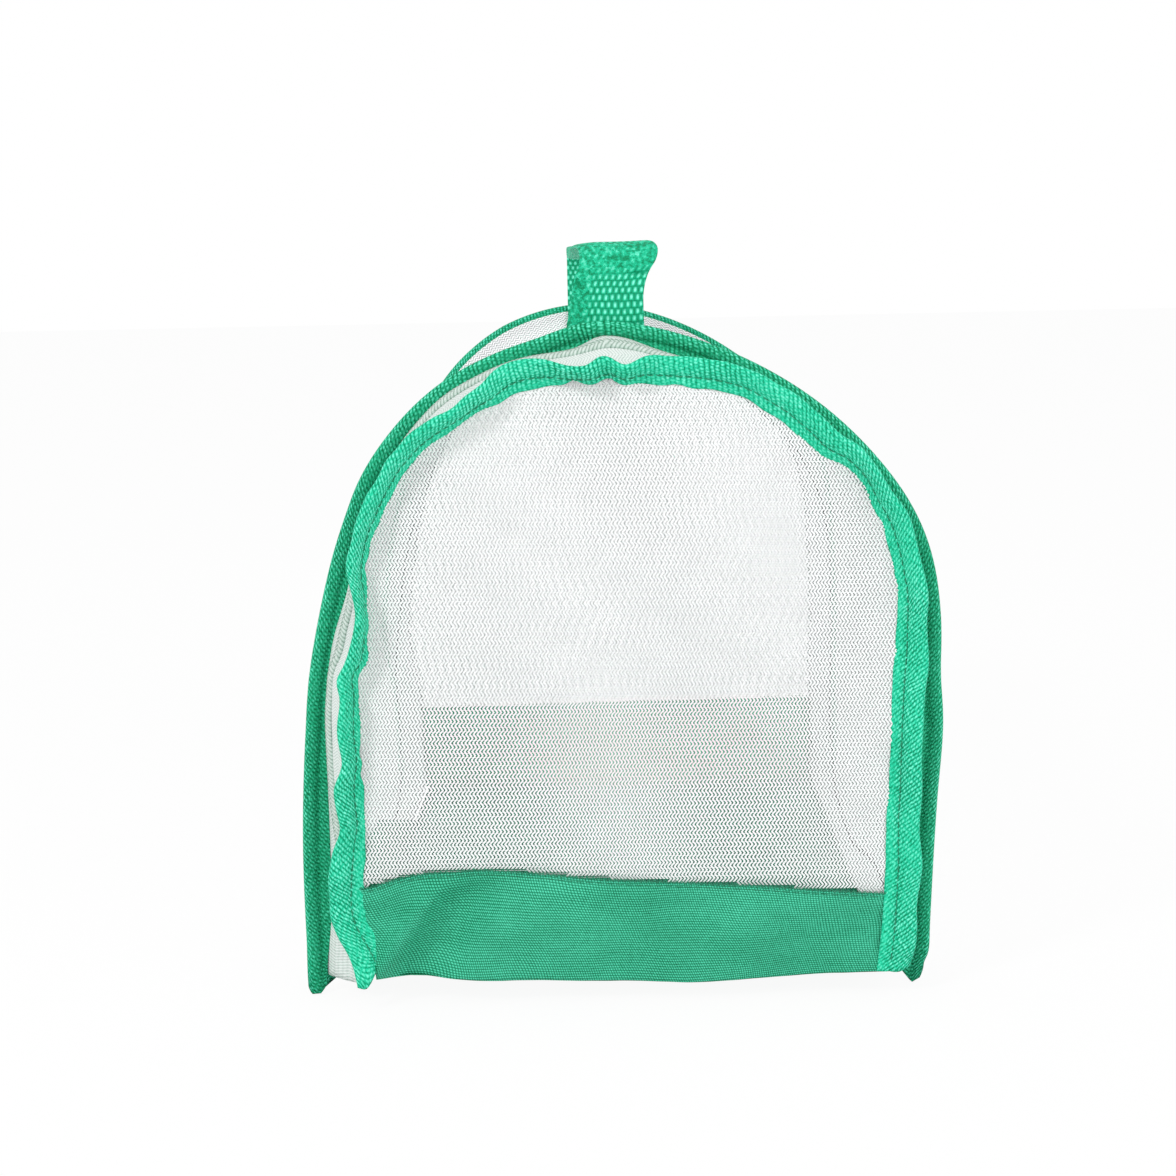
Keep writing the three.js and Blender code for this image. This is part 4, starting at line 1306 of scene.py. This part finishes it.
floor_look = bpy.data.materials.new("studio_floor")
floor_look.use_nodes = True
show_white(
    floor_look.node_tree, "ShaderNodeOutputMaterial",
    ("ShaderNodeBsdfDiffuse", 0.9, None), ("ShaderNodeEmission", 1, 1.0), 0.93,
)
REACH = 6.0
corners = [(-REACH, -REACH, 0), (REACH, -REACH, 0), (REACH, REACH, 0), (-REACH, REACH, 0)]
ground = bpy.data.meshes.new("studio_floor")
ground.from_pydata(corners, [], [(0, 1, 2, 3)])
ground.materials.append(floor_look)
ground_object = bpy.data.objects.new("studio_floor", ground)
bpy.context.scene.collection.objects.link(ground_object)

world = bpy.data.worlds.new("studio")
bpy.context.scene.world = world
world.use_nodes = True
show_white(
    world.node_tree, "ShaderNodeOutputWorld",
    ("ShaderNodeBackground", 1, 0.77), ("ShaderNodeBackground", 1, 1.0),
)


def lamp(name, place, target, size, power):
    data = bpy.data.lights.new(name, "AREA")
    data.shape = "DISK"
    data.size = size
    data.energy = power
    made = bpy.data.objects.new(name, data)
    bpy.context.scene.collection.objects.link(made)
    made.location = place
    made.rotation_mode = "QUATERNION"
    made.rotation_quaternion = (Vector(target) - Vector(place)).to_track_quat("-Z", "Y")


lamp("key_lamp", (-0.8, -1.0, 1.0), (0, 0, 0.08), 0.3, 8.0)
lamp("fill_lamp", (0.9, -1.0, 0.6), (0, 0, 0.08), 0.8, 5.0)

# The camera, as it was fitted to the photograph: its focal length is in the photo's pixels
PHOTO_SIDE = 1176
FOCAL_LENGTH = 2243.3
SENSOR = 36
camera_data = bpy.data.cameras.new("camera")
camera_data.sensor_width = SENSOR
camera_data.lens = FOCAL_LENGTH * SENSOR / PHOTO_SIDE
camera_data.clip_start = 0.01
camera_data.clip_end = 50
camera = bpy.data.objects.new("camera", camera_data)
bpy.context.scene.collection.objects.link(camera)
bpy.context.scene.camera = camera


def camera_matrix(place, yaw, pitch, roll):
    yaw, pitch, roll = (math.radians(v) for v in (yaw, pitch, roll))
    level = math.cos(pitch)
    forward = np.array([-math.sin(yaw) * level, math.cos(yaw) * level, -math.sin(pitch)])
    right = np.array([math.cos(yaw), math.sin(yaw), 0])
    up = np.cross(right, forward)
    right, up = math.cos(roll) * right + math.sin(roll) * up, math.cos(roll) * up - math.sin(roll) * right
    matrix = np.eye(4)
    matrix[:3] = points_of(right, up, -forward, np.array(place) * MM)
    return Matrix(matrix.tolist())


camera.matrix_world = camera_matrix((AXIS - 8.26, FRONT - 558.23, 186.41), -0.069, 8.417, -1.173)

bpy.context.scene.view_settings.view_transform = "Standard"
bpy.context.view_layer.update()
